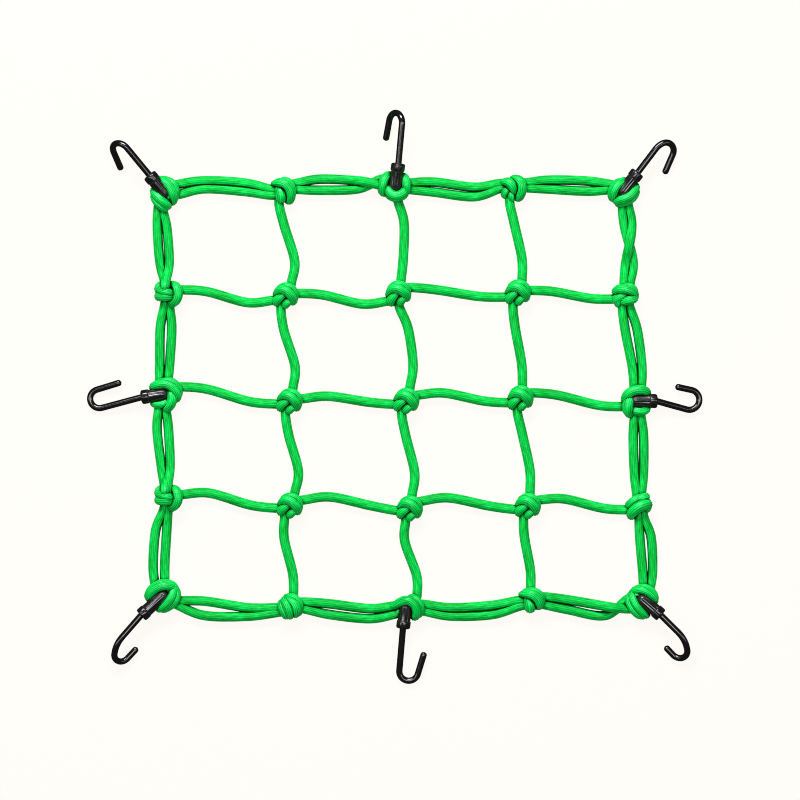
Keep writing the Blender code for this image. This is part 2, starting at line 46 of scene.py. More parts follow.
# cord
CORD_RADIUS = 3.22
CORD_RADIUS_AT_KNOT = 3.0    # the elastic is drawn thinner where it enters a knot
CORD_SIDES = 28              # two for each rib of the braid
RIB_COUNT = 14
RIB_DEPTH = 0.2
RING_STEP = 1.25             # distance between sections along a free cord
KNOT_RING_STEP = 0.9
STRAND_POINTS = 22           # points that a strand's smooth path is drawn through
CURVE_STEPS = 12             # steps from one such point to the next
MERGE_DISTANCE = 0.01        # closes a tube's seam and its ends
FLOOR_HEIGHT = 3.45          # cord centre where it lies on the surface
KNOT_HEIGHT = 4.7            # cord centre inside a knot
ENTRY_DROP = 0.7             # how much lower it is where it enters the knot
CROSSING_LIFT = 5.6          # how far a cord rises to pass over its neighbour
CROSSING_SPREAD = 0.13       # half length of that rise, as a share of the strand
CORD_INSIDE_KNOT = 3.2       # the strand ends this far from the knot's middle
CORD_ENTRY = 9.5             # the sideways offset at a knot is measured here
OFFSET_INSIDE = 0.7          # offset at the strand's end, as a share of that at the entry
KNOT_CLEARANCE = 0.35        # least gap between a turn of cord and the surface
END_RADIUS = 0.002           # a tube narrows to this at its ends, so that the ends close
END_SHOULDER = (0.8, 0.6)    # last full step before an end: distance and radius, as shares

# hooks
WIRE_RADIUS = 2.25
SLEEVE_RADIUS = 4.2
SLEEVE_SPREAD = 0.3          # how much wider a sleeve is towards its mouth
SLEEVE_ROUNDING = 3.6        # length of its rounded inner end
SLEEVE_END_FLAT = 0.3        # radius of the flat in that end, as a share of the sleeve's
COLLAR_RADIUS = 5.0
COLLAR_LENGTH = 5.5
BORE_RADIUS = 2.65
BORE_DEPTH = 12.0
SEAT_GAP = 0.3               # between the wire's end and the bottom of its bore
FLUTES = 9                   # shallow lengthwise hollows round a sleeve
FLUTE_DEPTH = 0.4
HOOK_ROOT_HEIGHT = 8.2       # centre of the sleeve's inner end
WIRE_RING_STEP = 0.8
WIRE_SIDES = 28
WIRE_IN_MOUTH = 1.0          # the wire follows the sleeve to this far before its mouth
SHANK_START = 2.5            # and the shank from this far past it
SHANK_STEPS = 5
BEND_STEPS = 18
TIP_STEPS = 3
TIP_ROUNDING = ((0.5, 0.87), (0.85, 0.5), (1.0, 0.001))   # distance and radius, in wire radii
WIRE_FLAT_END = 0.1          # how far the wire's cut end, inside the sleeve, bulges
STEEPEST_SLOPE = 20          # degrees
SLOPE_TRIES = 30             # halvings of the range of slopes
WIRE_FLOOR_GAP = 0.1
SLEEVE_SIDES = 72
SHARP_EDGE = 50              # edges that turn more than this many degrees stay crisp

# dye of the cord where it is deepest and lightest, painted shade between ribs, stitch crests lighter
# from wear and a painted highlight, painted shade in creases, and the tint of its sheen
DYE_DEEP = (0.0, 0.36, 0.01, 1)
DYE_LIGHT = (0.0, 1.0, 0.135, 1)
PAINTED_GROOVE_SHADE = (0.0, 0.08, 0.002, 1)
STITCH_WEAR_AND_HIGHLIGHT = (0.02, 1.0, 0.32, 1)
PAINTED_CREASE_SHADE = (0.0, 0.012, 0.0, 1)
SHEEN_TINT = (0.5, 1.0, 0.95, 1)

# braid: stitches in a length equal to the cord's girth, and how far they lean across a rib
STITCHES = 21.0
STITCH_SLANT = 0.9
STITCH_CREST = 0.6           # the part of a stitch that wears and takes a painted highlight
STITCH_HEIGHT = 0.1          # against the depth of a groove
GROOVE_SHARPNESS = 1.8
CLOUD_SCALE = 60.0           # uneven dye over the whole net
CLOUD_SHARE = 0.6
STREAK_RATE = 2.2            # how soon the dye changes along a single rib
STREAK_APART = 3.7           # keeps the streaks of two ribs from looking alike
STREAK_SHARE = 1.4
GROOVE_FADE = (-2.0, 1.7)    # a streak's darkness and how strongly the painted shade in its grooves shows
# occlusion at or below this gets the full painted crease shade
PAINTED_CREASE_SHADE_DEEPEST = 0.37
BRAID_RELIEF = 0.15

# black plastic
PLASTIC_GLOSS = 0.85
PLASTIC_RELIEF = 0.1
RUBBED_RANGE = (0.97, 0.55)  # open surface and surface deep in a knot
RUBBED_DULLNESS = 0.6

# what the picture takes in
FRAME_WIDTH = 560.0
FRAME_CENTRE = (3.5, -1.4)
LENS = 150.0
SENSOR = 36.0
FARTHEST = 50                # metres

# stage, in metres and watts
FLOOR_SIZE = 30.0
FLOOR_COLOUR = (0.07, 0.068, 0.065, 1)
FLOOR_GLOW = (1.0, 0.974, 0.93, 1)
FLOOR_GLOW_STRENGTH = 0.935
ROOM_STRENGTH = 0.06
LIGHT = ("name", "place", "size", "power")
LIGHTS = (
    ("window", (-0.3, 1.5, 1.45), (1.5, 0.55), 52.0),
    ("overhead", (0.0, 0.0, 2.1), (1.2, 0.6), 14.0),
    ("left_strip", (-1.35, 0.0, 1.7), (0.35, 1.1), 6.0),
    ("right_strip", (1.35, 0.0, 1.7), (0.35, 1.1), 5.0),
)

# middle of each knot, one row of the net after another, from the far edge to the near edge
KNOTS = (
    ((-161.0, 142.1), (-77.7, 144.9), (0.0, 147.0), (83.0, 146.7), (160.0, 143.9)),
    ((-158.6, 72.5), (-76.3, 71.4), (2.5, 72.8), (86.1, 73.5), (161.0, 71.8)),
    ((-160.3, 1.8), (-73.5, -2.5), (8.1, -2.1), (87.9, -0.4), (169.1, -2.8)),
    ((-158.6, -70.0), (-73.2, -75.3), (10.5, -77.4), (93.0, -75.6), (170.5, -75.6)),
    ((-162.4, -138.6), (-73.2, -146.0), (10.5, -147.0), (95.6, -141.8), (172.9, -142.8)),
)

# Strands along the rows, from the left knot to the right one. Each offset is sideways from
# the straight line between the two knots, away from the viewer being positive.
# over is the share of the way at which the strand passes over its neighbour, 0 for none.
STRAND = ("row", "column", "leave", "third", "two_thirds", "arrive", "over")
ROW_STRANDS = (
    (0, 0, 7.1, 9.0, 6.6, 1.6, 0), (0, 0, 0.0, 3.4, 0.6, -2.6, 0),
    (0, 1, 5.2, 7.6, 5.6, 1.7, 0.80), (0, 1, 0.8, -0.2, 0.1, 6.4, 0),
    (0, 2, 3.5, 4.2, 0.7, 3.4, 0), (0, 2, -1.0, -2.8, -5.9, -0.1, 0),
    (0, 3, 4.4, 6.8, 7.0, 5.2, 0), (0, 3, 0.7, 0.4, -0.1, 1.5, 0),
    (1, 0, 3.3, 2.2, -4.9, -3.2, 0), (1, 1, 1.6, 0.2, -6.5, -5.1, 0),
    (1, 2, 4.4, 2.5, -2.1, -2.8, 0), (1, 3, 2.0, 1.5, -2.6, -2.8, 0),
    (2, 0, 6.5, 5.7, -1.3, -2.2, 0), (2, 1, 2.0, 3.6, -0.6, -2.2, 0),
    (2, 2, 4.1, 5.0, -1.0, -2.7, 0), (2, 3, 4.3, 2.9, -3.0, -3.5, 0),
    (3, 0, 3.0, 5.2, -1.3, -2.4, 0), (3, 1, 4.2, 6.7, 1.4, -1.6, 0),
    (3, 2, 5.2, 6.9, 0.7, -2.1, 0), (3, 3, 4.4, 4.9, -1.4, -2.6, 0),
    (4, 0, -2.5, -1.2, -3.3, -1.6, 0), (4, 0, -5.0, -11.2, -9.3, -5.0, 0),
    (4, 1, 3.3, 2.2, -0.8, 1.6, 0), (4, 1, -1.4, -5.3, -7.8, -4.1, 0),
    (4, 2, 2.0, -1.6, -1.7, 0.6, 0), (4, 2, -2.7, -7.4, -8.1, -3.5, 0),
    (4, 3, 2.7, 0.8, -3.1, -4.8, 0.72), (4, 3, -2.8, -6.0, -9.8, 2.4, 0),
)

# Strands along the columns, from the far knot to the near one, to the right being positive.
COLUMN_STRANDS = (
    (0, 0, -5.1, -6.1, -5.2, -2.4, 0), (0, 0, -2.0, 0.5, 1.3, -1.0, 0.92),
    (1, 0, -2.7, -5.1, -4.9, -4.5, 0), (1, 0, 1.2, 2.9, 2.1, 1.1, 0),
    (2, 0, -5.2, -6.8, -4.6, -2.6, 0), (2, 0, -0.2, 1.2, 1.7, 0.2, 0.92),
    (3, 0, -3.1, -7.6, -8.2, -6.4, 0), (3, 0, 0.2, 0.1, 0.0, 0.7, 0),
    (0, 1, -3.6, -0.2, 6.5, 4.0, 0), (1, 1, -3.9, -2.2, 4.4, 2.4, 0),
    (2, 1, -3.2, -0.8, 5.6, 3.2, 0), (3, 1, -4.1, -4.3, 1.5, 2.2, 0),
    (0, 2, 1.8, 5.5, 4.1, 2.0, 0), (1, 2, 0.0, 4.9, 6.4, 3.1, 0),
    (2, 2, -3.7, -1.2, 4.0, 1.7, 0), (3, 2, -3.1, -3.6, 4.5, 4.9, 0),
    (0, 3, -3.2, -0.6, 3.7, 3.2, 0), (1, 3, -3.8, -2.5, 1.3, 1.5, 0),
    (2, 3, -2.9, -0.4, 3.1, 2.1, 0), (3, 3, -3.4, -3.2, -0.1, -0.2, 0),
    (0, 4, 3.2, 5.3, 1.0, -0.5, 0.50), (0, 4, -1.0, 0.4, 5.9, 3.8, 0),
    (1, 4, -2.8, -2.4, -0.3, -0.6, 0), (1, 4, 2.6, 5.9, 6.4, 4.3, 0),
    (2, 4, -1.6, -2.8, -2.5, -1.3, 0), (2, 4, 2.7, 4.4, 3.9, 2.2, 0),
    (3, 4, 0.0, 0.1, 1.2, 1.4, 0), (3, 4, 3.8, 8.0, 8.2, 6.0, 0),
)

# Turns of cord in each kind of knot: the cord's radius there, then points along its middle,
# measured from the knot's own middle. A fourth value is the cord's radius at that point.
TURN = ("radius", "points")
TURNS = {
    "inner": (
        (3.0, ((-7.6, 0.8, 4.6, 1.6), (-7.4, 1.6, 7.2, 1.7), (-5.4, 3.6, 9.8, 2.4), (-2.4, 4.4, 11.6),
               (0.8, 3.2, 12.4, 3.2), (3.1, 1.0, 12.0, 3.2), (4.7, -1.4, 10.4, 3.0),
               (5.2, -3.4, 7.8, 2.7), (4.6, -4.3, 4.8, 2.4), (0.0, -2.0, 3.4), (-3.6, 0.4, 3.5))),
        (2.5, ((-5.4, 4.6, 4.2, 1.8), (-4.4, 5.6, 6.6, 2.0), (-1.4, 6.7, 8.8), (2.2, 6.3, 9.8, 2.6),
               (5.2, 4.2, 9.6, 2.6), (6.4, 1.0, 8.8), (6.1, -1.9, 7.0), (4.9, -4.4, 4.6, 2.2),
               (1.6, 0.6, 3.2), (-2.0, 4.0, 3.4))),
        (3.3, ((-5.6, -4.2, 3.9), (-6.5, -4.0, 5.4), (-5.8, -2.8, 7.0), (-4.0, -1.2, 8.2),
               (-1.7, 0.7, 8.6), (0.6, 2.6, 8.0))),
        (2.9, ((-0.6, -6.2, 3.6, 2.4), (-0.4, -6.4, 5.2, 2.8), (-0.2, -6.1, 7.4), (0.9, -5.0, 8.8),
               (2.4, -3.6, 8.8), (3.8, -2.4, 7.4, 2.7))),
    ),
    "far_left": (
        (2.9, ((-6.2, 9.8, 4.2), (-4.4, 10.3, 7.6), (-0.2, 8.7, 10.2), (3.7, 4.9, 11.2),
               (6.0, 0.3, 10.6), (6.3, -3.4, 7.6), (4.9, -4.8, 4.4))),
        (2.7, ((-4.2, 9.8, 3.6), (-0.8, 10.5, 5.8), (4.0, 9.0, 7.4), (7.1, 5.4, 8.2),
               (7.6, 1.2, 7.8), (6.8, -2.4, 5.6), (4.8, -4.2, 3.6))),
        (1.8, ((0.6, -3.6, 6.0), (2.6, -2.6, 8.6), (4.4, -0.4, 9.4), (5.2, 1.8, 8.6))),
        (3.0, ((-6.0, 3.8, 4.2), (-7.2, 2.2, 7.6), (-5.4, -0.9, 10.0), (-1.8, -4.4, 11.0),
               (1.4, -6.9, 9.4), (2.0, -7.8, 6.2), (1.0, -7.0, 4.0))),
        (2.8, ((-6.2, 0.6, 3.6), (-7.2, -1.0, 6.2), (-5.8, -4.6, 8.2), (-2.6, -7.8, 8.8),
               (-0.2, -9.6, 7.0), (-0.4, -9.4, 4.2))),
        (2.8, ((-5.5, 4.5, 4.2), (-2.0, 2.0, 3.2), (2.0, -1.6, 3.2), (5.0, -3.6, 4.2))),
    ),
    "far_inner_left": (
        (3.0, ((-8.0, 5.0, 6.0, 1.3), (-6.4, 5.4, 8.4, 1.9), (-3.2, 5.6, 10.8, 2.9), (0.8, 4.6, 12.0),
               (3.8, 1.6, 11.8, 3.1), (5.1, -2.6, 10.4, 3.1), (4.6, -5.8, 7.4), (3.0, -6.8, 4.4, 2.6),
               (-1.5, -1.5, 3.4), (-4.6, 2.4, 3.5))),
        (2.6, ((-3.0, 5.8, 4.2, 2.0), (-2.0, 6.4, 6.8, 2.2), (0.6, 6.9, 9.0), (3.6, 5.8, 9.8),
               (5.6, 2.4, 9.4), (5.9, -1.6, 8.0), (5.2, -4.8, 5.4, 2.4))),
        (3.9, ((-3.4, 3.0, 6.4, 2.4), (-3.0, 1.0, 7.8, 3.1), (-1.8, -2.4, 8.4), (-1.8, -4.9, 7.0),
               (-2.2, -5.0, 4.8, 3.6))),
    ),
    "far_middle": (
        (3.2, ((-3.0, 8.0, 4.2), (-4.8, 8.2, 7.6), (-7.2, 6.0, 10.0), (-8.6, 2.0, 10.4),
               (-8.8, -1.8, 8.0), (-7.2, -3.2, 4.4))),
        (3.2, ((-5.6, 1.4, 6.0, 2.4), (-5.0, -1.4, 9.2, 3.0), (-2.4, -4.6, 10.4), (1.4, -5.6, 10.8),
               (4.9, -4.2, 10.0), (6.6, -1.6, 8.4))),
        (2.6, ((-5.6, -2.6, 4.2), (-4.6, -5.0, 6.6), (-1.6, -7.0, 7.2), (2.2, -7.3, 7.4),
               (5.7, -5.8, 6.8), (7.2, -3.4, 5.0))),
        (3.1, ((4.6, 7.0, 4.2), (6.2, 7.2, 7.4), (7.4, 5.0, 9.8), (7.9, 1.4, 10.2),
               (7.8, -1.8, 8.0), (6.6, -3.0, 4.4))),
        (2.8, ((-5.8, 0.5, 4.2), (-2.0, 1.5, 3.2), (2.0, 1.0, 3.2), (6.0, 0.0, 4.2))),
    ),
    "far_inner_right": (
        (3.1, ((-1.4, 7.0, 6.4, 1.6), (0.6, 6.8, 8.6, 2.4), (3.4, 5.4, 10.6), (5.4, 2.2, 11.2),
               (5.7, -1.4, 10.6), (4.7, -4.9, 8.6), (2.9, -6.8, 5.4, 2.6), (-1.0, -2.0, 3.5),
               (-2.0, 3.0, 3.6))),
        (2.2, ((0.6, 6.6, 4.2, 1.8), (3.4, 6.8, 7.0), (6.0, 4.4, 8.2), (6.6, -0.2, 8.0),
               (5.6, -3.8, 6.0), (3.8, -5.6, 4.0))),
        (3.0, ((-8.6, 4.4, 6.2, 1.5), (-6.6, 4.4, 8.2, 2.4), (-4.0, 4.0, 10.0, 3.2),
               (-1.4, 2.2, 10.4, 3.5), (0.2, -0.8, 9.2), (0.6, -3.0, 7.2, 2.3))),
        (2.6, ((-4.0, -0.8, 6.6), (-5.4, -1.8, 7.4), (-6.3, -3.2, 6.8), (-6.3, -4.6, 5.0),
               (-5.2, -4.8, 3.6))),
        (2.6, ((-1.8, -3.4, 6.6), (-1.7, -5.2, 7.2), (-1.5, -6.8, 6.2), (-1.4, -7.2, 4.2))),
    ),
    "far_right": (
        (3.0, ((1.4, 7.2, 4.6), (-0.6, 7.3, 7.8), (-4.0, 5.2, 10.2), (-6.7, 1.3, 10.6),
               (-7.3, -2.3, 8.4), (-6.0, -4.0, 4.8))),
        (2.6, ((-1.6, 6.6, 3.8), (-4.0, 7.0, 6.2), (-7.4, 3.6, 7.6), (-8.8, -0.4, 7.4),
               (-8.4, -3.4, 5.4), (-6.8, -4.4, 3.4))),
        (2.2, ((-5.4, -0.8, 6.4), (-4.4, -2.6, 7.6), (-2.4, -3.6, 7.6), (-0.4, -3.9, 6.2))),
        (3.0, ((7.6, 4.6, 4.4), (7.9, 2.6, 7.8), (5.2, -1.6, 10.2), (1.2, -4.3, 10.8),
               (-2.8, -5.5, 9.6), (-4.8, -6.2, 6.8), (-4.2, -5.6, 4.0))),
        (2.7, ((8.0, 1.8, 3.8), (8.3, -0.6, 6.4), (5.6, -4.6, 7.8), (1.2, -6.9, 8.2),
               (-2.6, -7.7, 7.2), (-3.8, -7.8, 4.8))),
        (2.8, ((-6.0, -2.5, 4.2), (-2.5, -0.5, 3.2), (2.5, 1.5, 3.2), (7.0, 3.0, 4.2))),
    ),
    "left_side": (
        (3.4, ((1.6, 5.6, 4.8, 2.8), (3.4, 6.4, 7.8, 3.0), (5.8, 4.0, 10.0, 3.3), (6.8, 0.2, 10.6),
               (5.7, -3.6, 9.8), (3.4, -5.9, 7.8, 3.2), (1.8, -6.2, 5.0, 3.0), (-1.0, -2.0, 3.6, 2.8))),
        (2.3, ((3.0, 6.6, 4.4), (5.2, 6.6, 6.4), (7.8, 3.6, 7.4), (8.0, -0.4, 7.4),
               (6.6, -4.2, 6.4), (4.4, -6.2, 4.4))),
        (2.7, ((-6.6, 3.6, 5.0), (-7.0, 3.6, 7.8), (-5.2, 2.8, 10.6), (-2.4, 1.7, 13.0),
               (0.4, 1.2, 13.2), (2.0, 0.6, 10.6), (2.4, 0.2, 7.6))),
        (3.3, ((-6.1, -1.4, 4.8), (-6.3, -1.3, 7.4), (-4.6, -1.4, 10.0), (-1.6, -1.5, 11.8),
               (0.6, -1.3, 11.2), (1.8, -0.9, 9.0))),
        (3.0, ((-1.3, 12.4, 5.4), (-1.4, 9.8, 8.8, 3.1), (-1.5, 7.2, 12.2, 3.1), (-1.6, 4.8, 13.8, 2.9),
               (-1.6, 3.2, 13.8, 1.7))),
        (2.6, ((-3.8, 6.2, 4.6), (-5.4, 6.4, 7.2), (-6.6, 5.0, 8.4), (-6.6, 3.0, 8.2),
               (-5.2, 1.0, 7.0))),
        (2.8, ((-6.0, -1.0, 4.2), (-2.5, 0.5, 3.2), (2.0, 3.0, 3.2), (4.5, 4.5, 4.6))),
    ),
    "right_inner": (
        (3.2, ((-6.4, 2.2, 4.6, 2.4), (-7.0, 2.8, 7.0, 2.6), (-4.2, 4.2, 10.0), (0.2, 4.0, 11.6),
               (4.0, 2.6, 10.8), (6.0, 0.6, 8.2), (5.6, -1.0, 5.0), (1.5, 0.5, 3.6), (-3.0, 1.2, 3.7))),
        (2.5, ((-1.4, 5.2, 4.6), (0.4, 6.2, 7.2), (3.4, 6.0, 8.6), (5.9, 3.9, 8.4),
               (6.7, 0.8, 6.6))),
        (3.1, ((-6.6, -3.0, 4.2), (-6.4, -2.6, 6.4), (-4.2, -1.4, 8.2), (-1.6, 0.0, 8.6),
               (0.8, 1.6, 8.0))),
        (2.6, ((-4.4, -3.0, 6.6), (-5.0, -4.6, 6.8), (-5.0, -5.9, 5.0), (-4.0, -5.6, 3.4))),
        (3.3, ((-1.6, -4.5, 4.8, 2.8), (-0.8, -4.0, 7.6), (1.8, -3.4, 9.8), (4.8, -2.6, 9.6),
               (5.9, -1.8, 7.6), (5.4, -1.8, 4.6))),
    ),
    "left_hook": (
        (2.9, ((-8.4, 4.9, 4.4), (-8.2, 6.4, 7.6), (-4.6, 7.6, 10.2), (0.4, 7.8, 11.2),
               (4.8, 5.7, 11.4), (7.5, 2.2, 10.6), (8.2, -1.0, 8.0), (6.8, -2.4, 4.6))),
        (2.7, ((-7.0, 6.0, 3.8), (-6.2, 8.0, 6.2), (-1.6, 9.4, 7.8), (3.8, 9.7, 8.2),
               (7.7, 7.2, 8.2), (9.2, 3.2, 7.2), (8.6, 0.0, 4.8))),
        (3.4, ((3.4, 3.2, 7.0, 2.8), (4.3, 1.0, 9.4, 3.2), (4.8, -2.4, 10.0), (3.7, -6.0, 9.0),
               (1.4, -8.8, 6.6, 3.2), (0.4, -9.3, 4.2, 3.0))),
        (2.6, ((-8.6, -5.4, 4.0), (-7.6, -5.9, 6.0), (-4.6, -6.2, 7.4), (-1.6, -5.6, 7.8),
               (1.0, -4.2, 7.0))),
        (2.8, ((-8.0, -3.0, 3.4), (-3.0, -1.0, 3.2), (2.0, 1.0, 3.2), (6.5, 1.5, 4.2))),
    ),
    "right_hook": (
        (3.3, ((-8.0, 0.8, 4.4, 2.6), (-8.4, 2.4, 7.0, 2.8), (-6.4, 5.6, 9.4), (-2.0, 7.9, 10.4),
               (3.2, 8.5, 10.2), (6.6, 7.0, 8.0, 3.0), (6.9, 5.8, 5.0, 2.8))),
        (2.4, ((-5.8, 6.0, 3.8), (-4.8, 7.6, 5.8), (-1.0, 9.4, 6.8), (3.4, 9.5, 7.0),
               (6.6, 7.9, 6.0))),
        (3.8, ((-4.4, 3.2, 6.6, 2.8), (-5.4, 1.2, 8.6, 3.4), (-6.5, -2.2, 9.4), (-6.4, -5.4, 8.2),
               (-5.2, -8.2, 6.0, 3.0), (-4.4, -8.8, 4.0, 2.6))),
        (3.2, ((-3.4, -5.2, 5.6), (-0.4, -6.3, 7.2), (3.0, -6.5, 7.2), (5.8, -5.4, 6.0),
               (6.6, -4.2, 4.2))),
        (2.8, ((6.4, 3.5, 3.6), (2.5, 1.5, 3.2), (-2.0, -1.0, 3.2), (-5.5, -3.0, 4.2))),
    ),
    "right_outer": (
        (3.8, ((-4.6, -7.0, 4.6, 2.8), (-5.6, -6.0, 6.8, 3.1), (-3.8, -3.2, 9.6, 3.6),
               (-0.6, -0.4, 11.2), (3.4, 1.2, 10.6), (5.9, 1.5, 8.4, 3.4), (5.6, 0.0, 5.2, 3.0),
               (1.0, -3.0, 3.6, 3.0))),
        (2.8, ((-2.4, 3.2, 6.8, 2.4), (-0.2, 5.0, 8.6), (3.2, 6.4, 9.0), (5.0, 6.8, 7.4, 2.6),
               (4.8, 5.8, 4.6, 2.6))),
        (2.8, ((-6.7, 0.2, 4.6), (-6.7, 1.2, 7.2), (-4.8, 3.2, 9.0), (-2.0, 4.7, 9.2),
               (1.0, 5.8, 8.0))),
        (2.6, ((6.2, 2.8, 5.0), (6.4, 0.6, 6.2), (6.0, -1.8, 5.4), (4.6, -2.4, 3.6))),
        (2.8, ((-5.8, 0.5, 4.2), (-2.0, 2.0, 3.2), (2.0, 3.5, 3.2), (5.0, 4.0, 4.2))),
    ),
    "near_left": (
        (2.9, ((-8.4, -2.6, 4.4), (-9.0, -0.6, 7.2), (-6.6, 3.3, 9.6), (-2.4, 6.4, 10.8),
               (2.4, 7.6, 10.8), (6.2, 6.8, 9.2), (7.6, 5.0, 6.4))),
        (2.8, ((-9.4, -1.6, 3.6), (-10.0, 1.0, 6.0), (-7.4, 5.4, 7.6), (-2.6, 8.6, 8.2),
               (2.4, 9.3, 8.0), (7.0, 7.6, 7.8), (9.2, 4.0, 7.2), (9.2, 1.2, 4.8))),
        (2.8, ((6.6, 6.6, 5.6), (7.3, 4.4, 8.6), (6.8, 0.4, 10.6), (4.2, -3.6, 10.8),
               (0.6, -7.0, 9.4), (-2.4, -8.6, 6.8), (-1.8, -7.8, 4.2))),
        (2.9, ((8.2, 4.4, 4.2), (9.8, 2.4, 6.8), (9.2, -1.8, 8.4), (6.2, -5.8, 8.2),
               (1.8, -8.4, 7.2), (-0.4, -8.6, 4.4))),
        (2.4, ((1.6, 6.0, 4.8), (4.2, 3.6, 5.4), (5.4, 0.6, 4.8))),
        (2.8, ((-6.5, 2.5, 4.2), (-2.0, 1.0, 3.2), (2.0, -1.5, 3.2), (5.5, -3.5, 4.2))),
    ),
    "near_inner_left": (
        (3.1, ((-3.4, 4.8, 4.8, 2.6), (-4.0, 4.6, 7.6, 2.8), (-2.9, 2.4, 10.2), (-1.4, -0.8, 10.8),
               (-0.4, -4.2, 9.4), (-0.2, -6.0, 6.8, 2.9), (-0.4, -5.6, 4.2, 2.8), (-1.0, -1.0, 3.4, 2.8),
               (-2.6, 3.6, 3.5, 2.8))),
        (3.0, ((-5.4, 2.6, 4.6), (-6.0, 2.0, 7.0), (-5.2, -1.0, 8.8), (-3.9, -4.0, 8.4),
               (-3.0, -5.8, 6.2), (-2.8, -5.6, 4.0))),
        (3.1, ((-2.4, 5.0, 7.2, 2.4), (0.4, 4.4, 9.6, 2.8), (3.2, 2.0, 10.6), (4.4, -1.6, 10.2),
               (4.1, -4.4, 7.8, 2.9), (3.0, -5.2, 4.6, 2.7))),
        (2.6, ((-2.8, 6.0, 4.4), (-1.4, 6.9, 6.8), (1.8, 6.9, 8.4), (4.8, 5.0, 8.8),
               (6.4, 1.6, 8.2), (6.4, -2.0, 6.4), (5.2, -4.2, 4.2), (2.5, 0.5, 3.2))),
    ),
    "near_middle": (
        (3.1, ((-12.6, 1.6, 5.0, 2.5), (-10.2, 2.3, 6.8, 2.8), (-7.6, 4.0, 9.2, 3.0), (-4.2, 5.7, 11.4),
               (-0.4, 5.6, 12.6), (2.9, 3.0, 12.2), (4.5, -1.2, 10.6), (4.0, -5.0, 7.6),
               (2.6, -5.8, 4.6, 2.9))),
        (2.8, ((-0.6, 6.2, 5.2, 2.6), (1.8, 7.2, 8.0), (4.9, 5.5, 9.4), (6.9, 2.1, 9.2),
               (7.2, -1.6, 7.6), (5.8, -4.4, 4.8))),
        (1.9, ((-9.4, -4.2, 4.6), (-8.2, -2.4, 6.4), (-6.8, -0.4, 6.0))),
        (2.8, ((-6.0, 2.0, 4.2), (-2.0, 1.0, 3.2), (2.0, -1.5, 3.2), (5.0, -3.5, 4.2))),
    ),
    "near_inner_right": (
        (3.1, ((-8.2, 4.6, 5.8, 1.4), (-6.8, 5.0, 8.0, 2.0), (-3.8, 5.4, 10.4, 2.9), (0.4, 4.6, 12.0),
               (3.9, 1.8, 11.8), (5.5, -1.8, 10.2), (5.3, -3.4, 7.2, 2.8), (4.0, -3.8, 4.4, 2.6),
               (0.5, -1.5, 3.5), (-3.6, 2.0, 3.6))),
        (2.6, ((-5.0, 5.4, 4.4, 2.2), (-4.0, 6.4, 6.6, 2.4), (-0.6, 6.9, 8.6), (3.2, 6.2, 9.2),
               (6.0, 3.8, 8.8), (6.9, 0.6, 7.4), (6.3, -2.0, 5.0), (2.5, 1.5, 3.2), (-1.8, 5.0, 3.4))),
        (4.0, ((-3.0, 3.2, 6.8, 2.6), (-2.4, 1.2, 7.6, 3.2), (-1.3, -2.4, 8.0), (-1.1, -4.7, 6.6),
               (-1.2, -4.8, 4.6, 3.7))),
    ),
    "near_right": (
        (2.8, ((-4.8, 6.6, 4.6), (-5.6, 8.0, 7.4), (-2.0, 9.1, 10.0), (2.4, 7.9, 11.0),
               (6.4, 4.9, 10.2), (8.4, 1.7, 7.8), (7.8, 0.4, 4.8))),
        (2.8, ((-4.0, 7.4, 4.0), (-3.4, 9.2, 6.4), (0.6, 10.2, 8.2), (5.0, 8.7, 8.8),
               (8.0, 5.2, 8.2), (8.5, 2.0, 6.0), (7.4, 0.6, 4.0))),
        (2.7, ((-6.2, 7.0, 4.8), (-7.2, 5.4, 7.6), (-6.4, 1.4, 10.0), (-3.8, -3.1, 10.8),
               (0.0, -7.1, 9.4), (2.8, -8.8, 6.8), (2.4, -8.2, 4.4))),
        (2.9, ((-7.0, 5.0, 4.2), (-8.8, 3.4, 6.6), (-8.8, -0.8, 8.2), (-6.4, -5.1, 8.6),
               (-2.8, -8.4, 7.6), (0.4, -9.2, 5.4), (0.8, -8.6, 4.0))),
        (1.8, ((-5.8, 4.4, 7.6), (-4.6, 5.6, 8.8), (-2.6, 5.6, 8.2))),
        (2.8, ((-5.5, -3.0, 4.2), (-2.0, -1.0, 3.2), (2.0, 1.5, 3.2), (6.0, 3.0, 4.2))),
    ),
}

# which kind each knot is, laid out as the knots are, and how far it is turned, in degrees
KNOT_KINDS = (
    ("far_left", "far_inner_left", "far_middle", "far_inner_right", "far_right"),
    ("left_side", "inner", "inner", "inner", "right_inner"),
    ("left_hook", "inner", "inner", "inner", "right_hook"),
    ("left_side", "inner", "inner", "inner", "right_outer"),
    ("near_left", "near_inner_left", "near_middle", "near_inner_right", "near_right"),
)
KNOT_TURNED = {(1, 2): 13, (1, 3): 4, (2, 1): -3, (2, 2): -2, (2, 3): 4, (3, 2): -1}

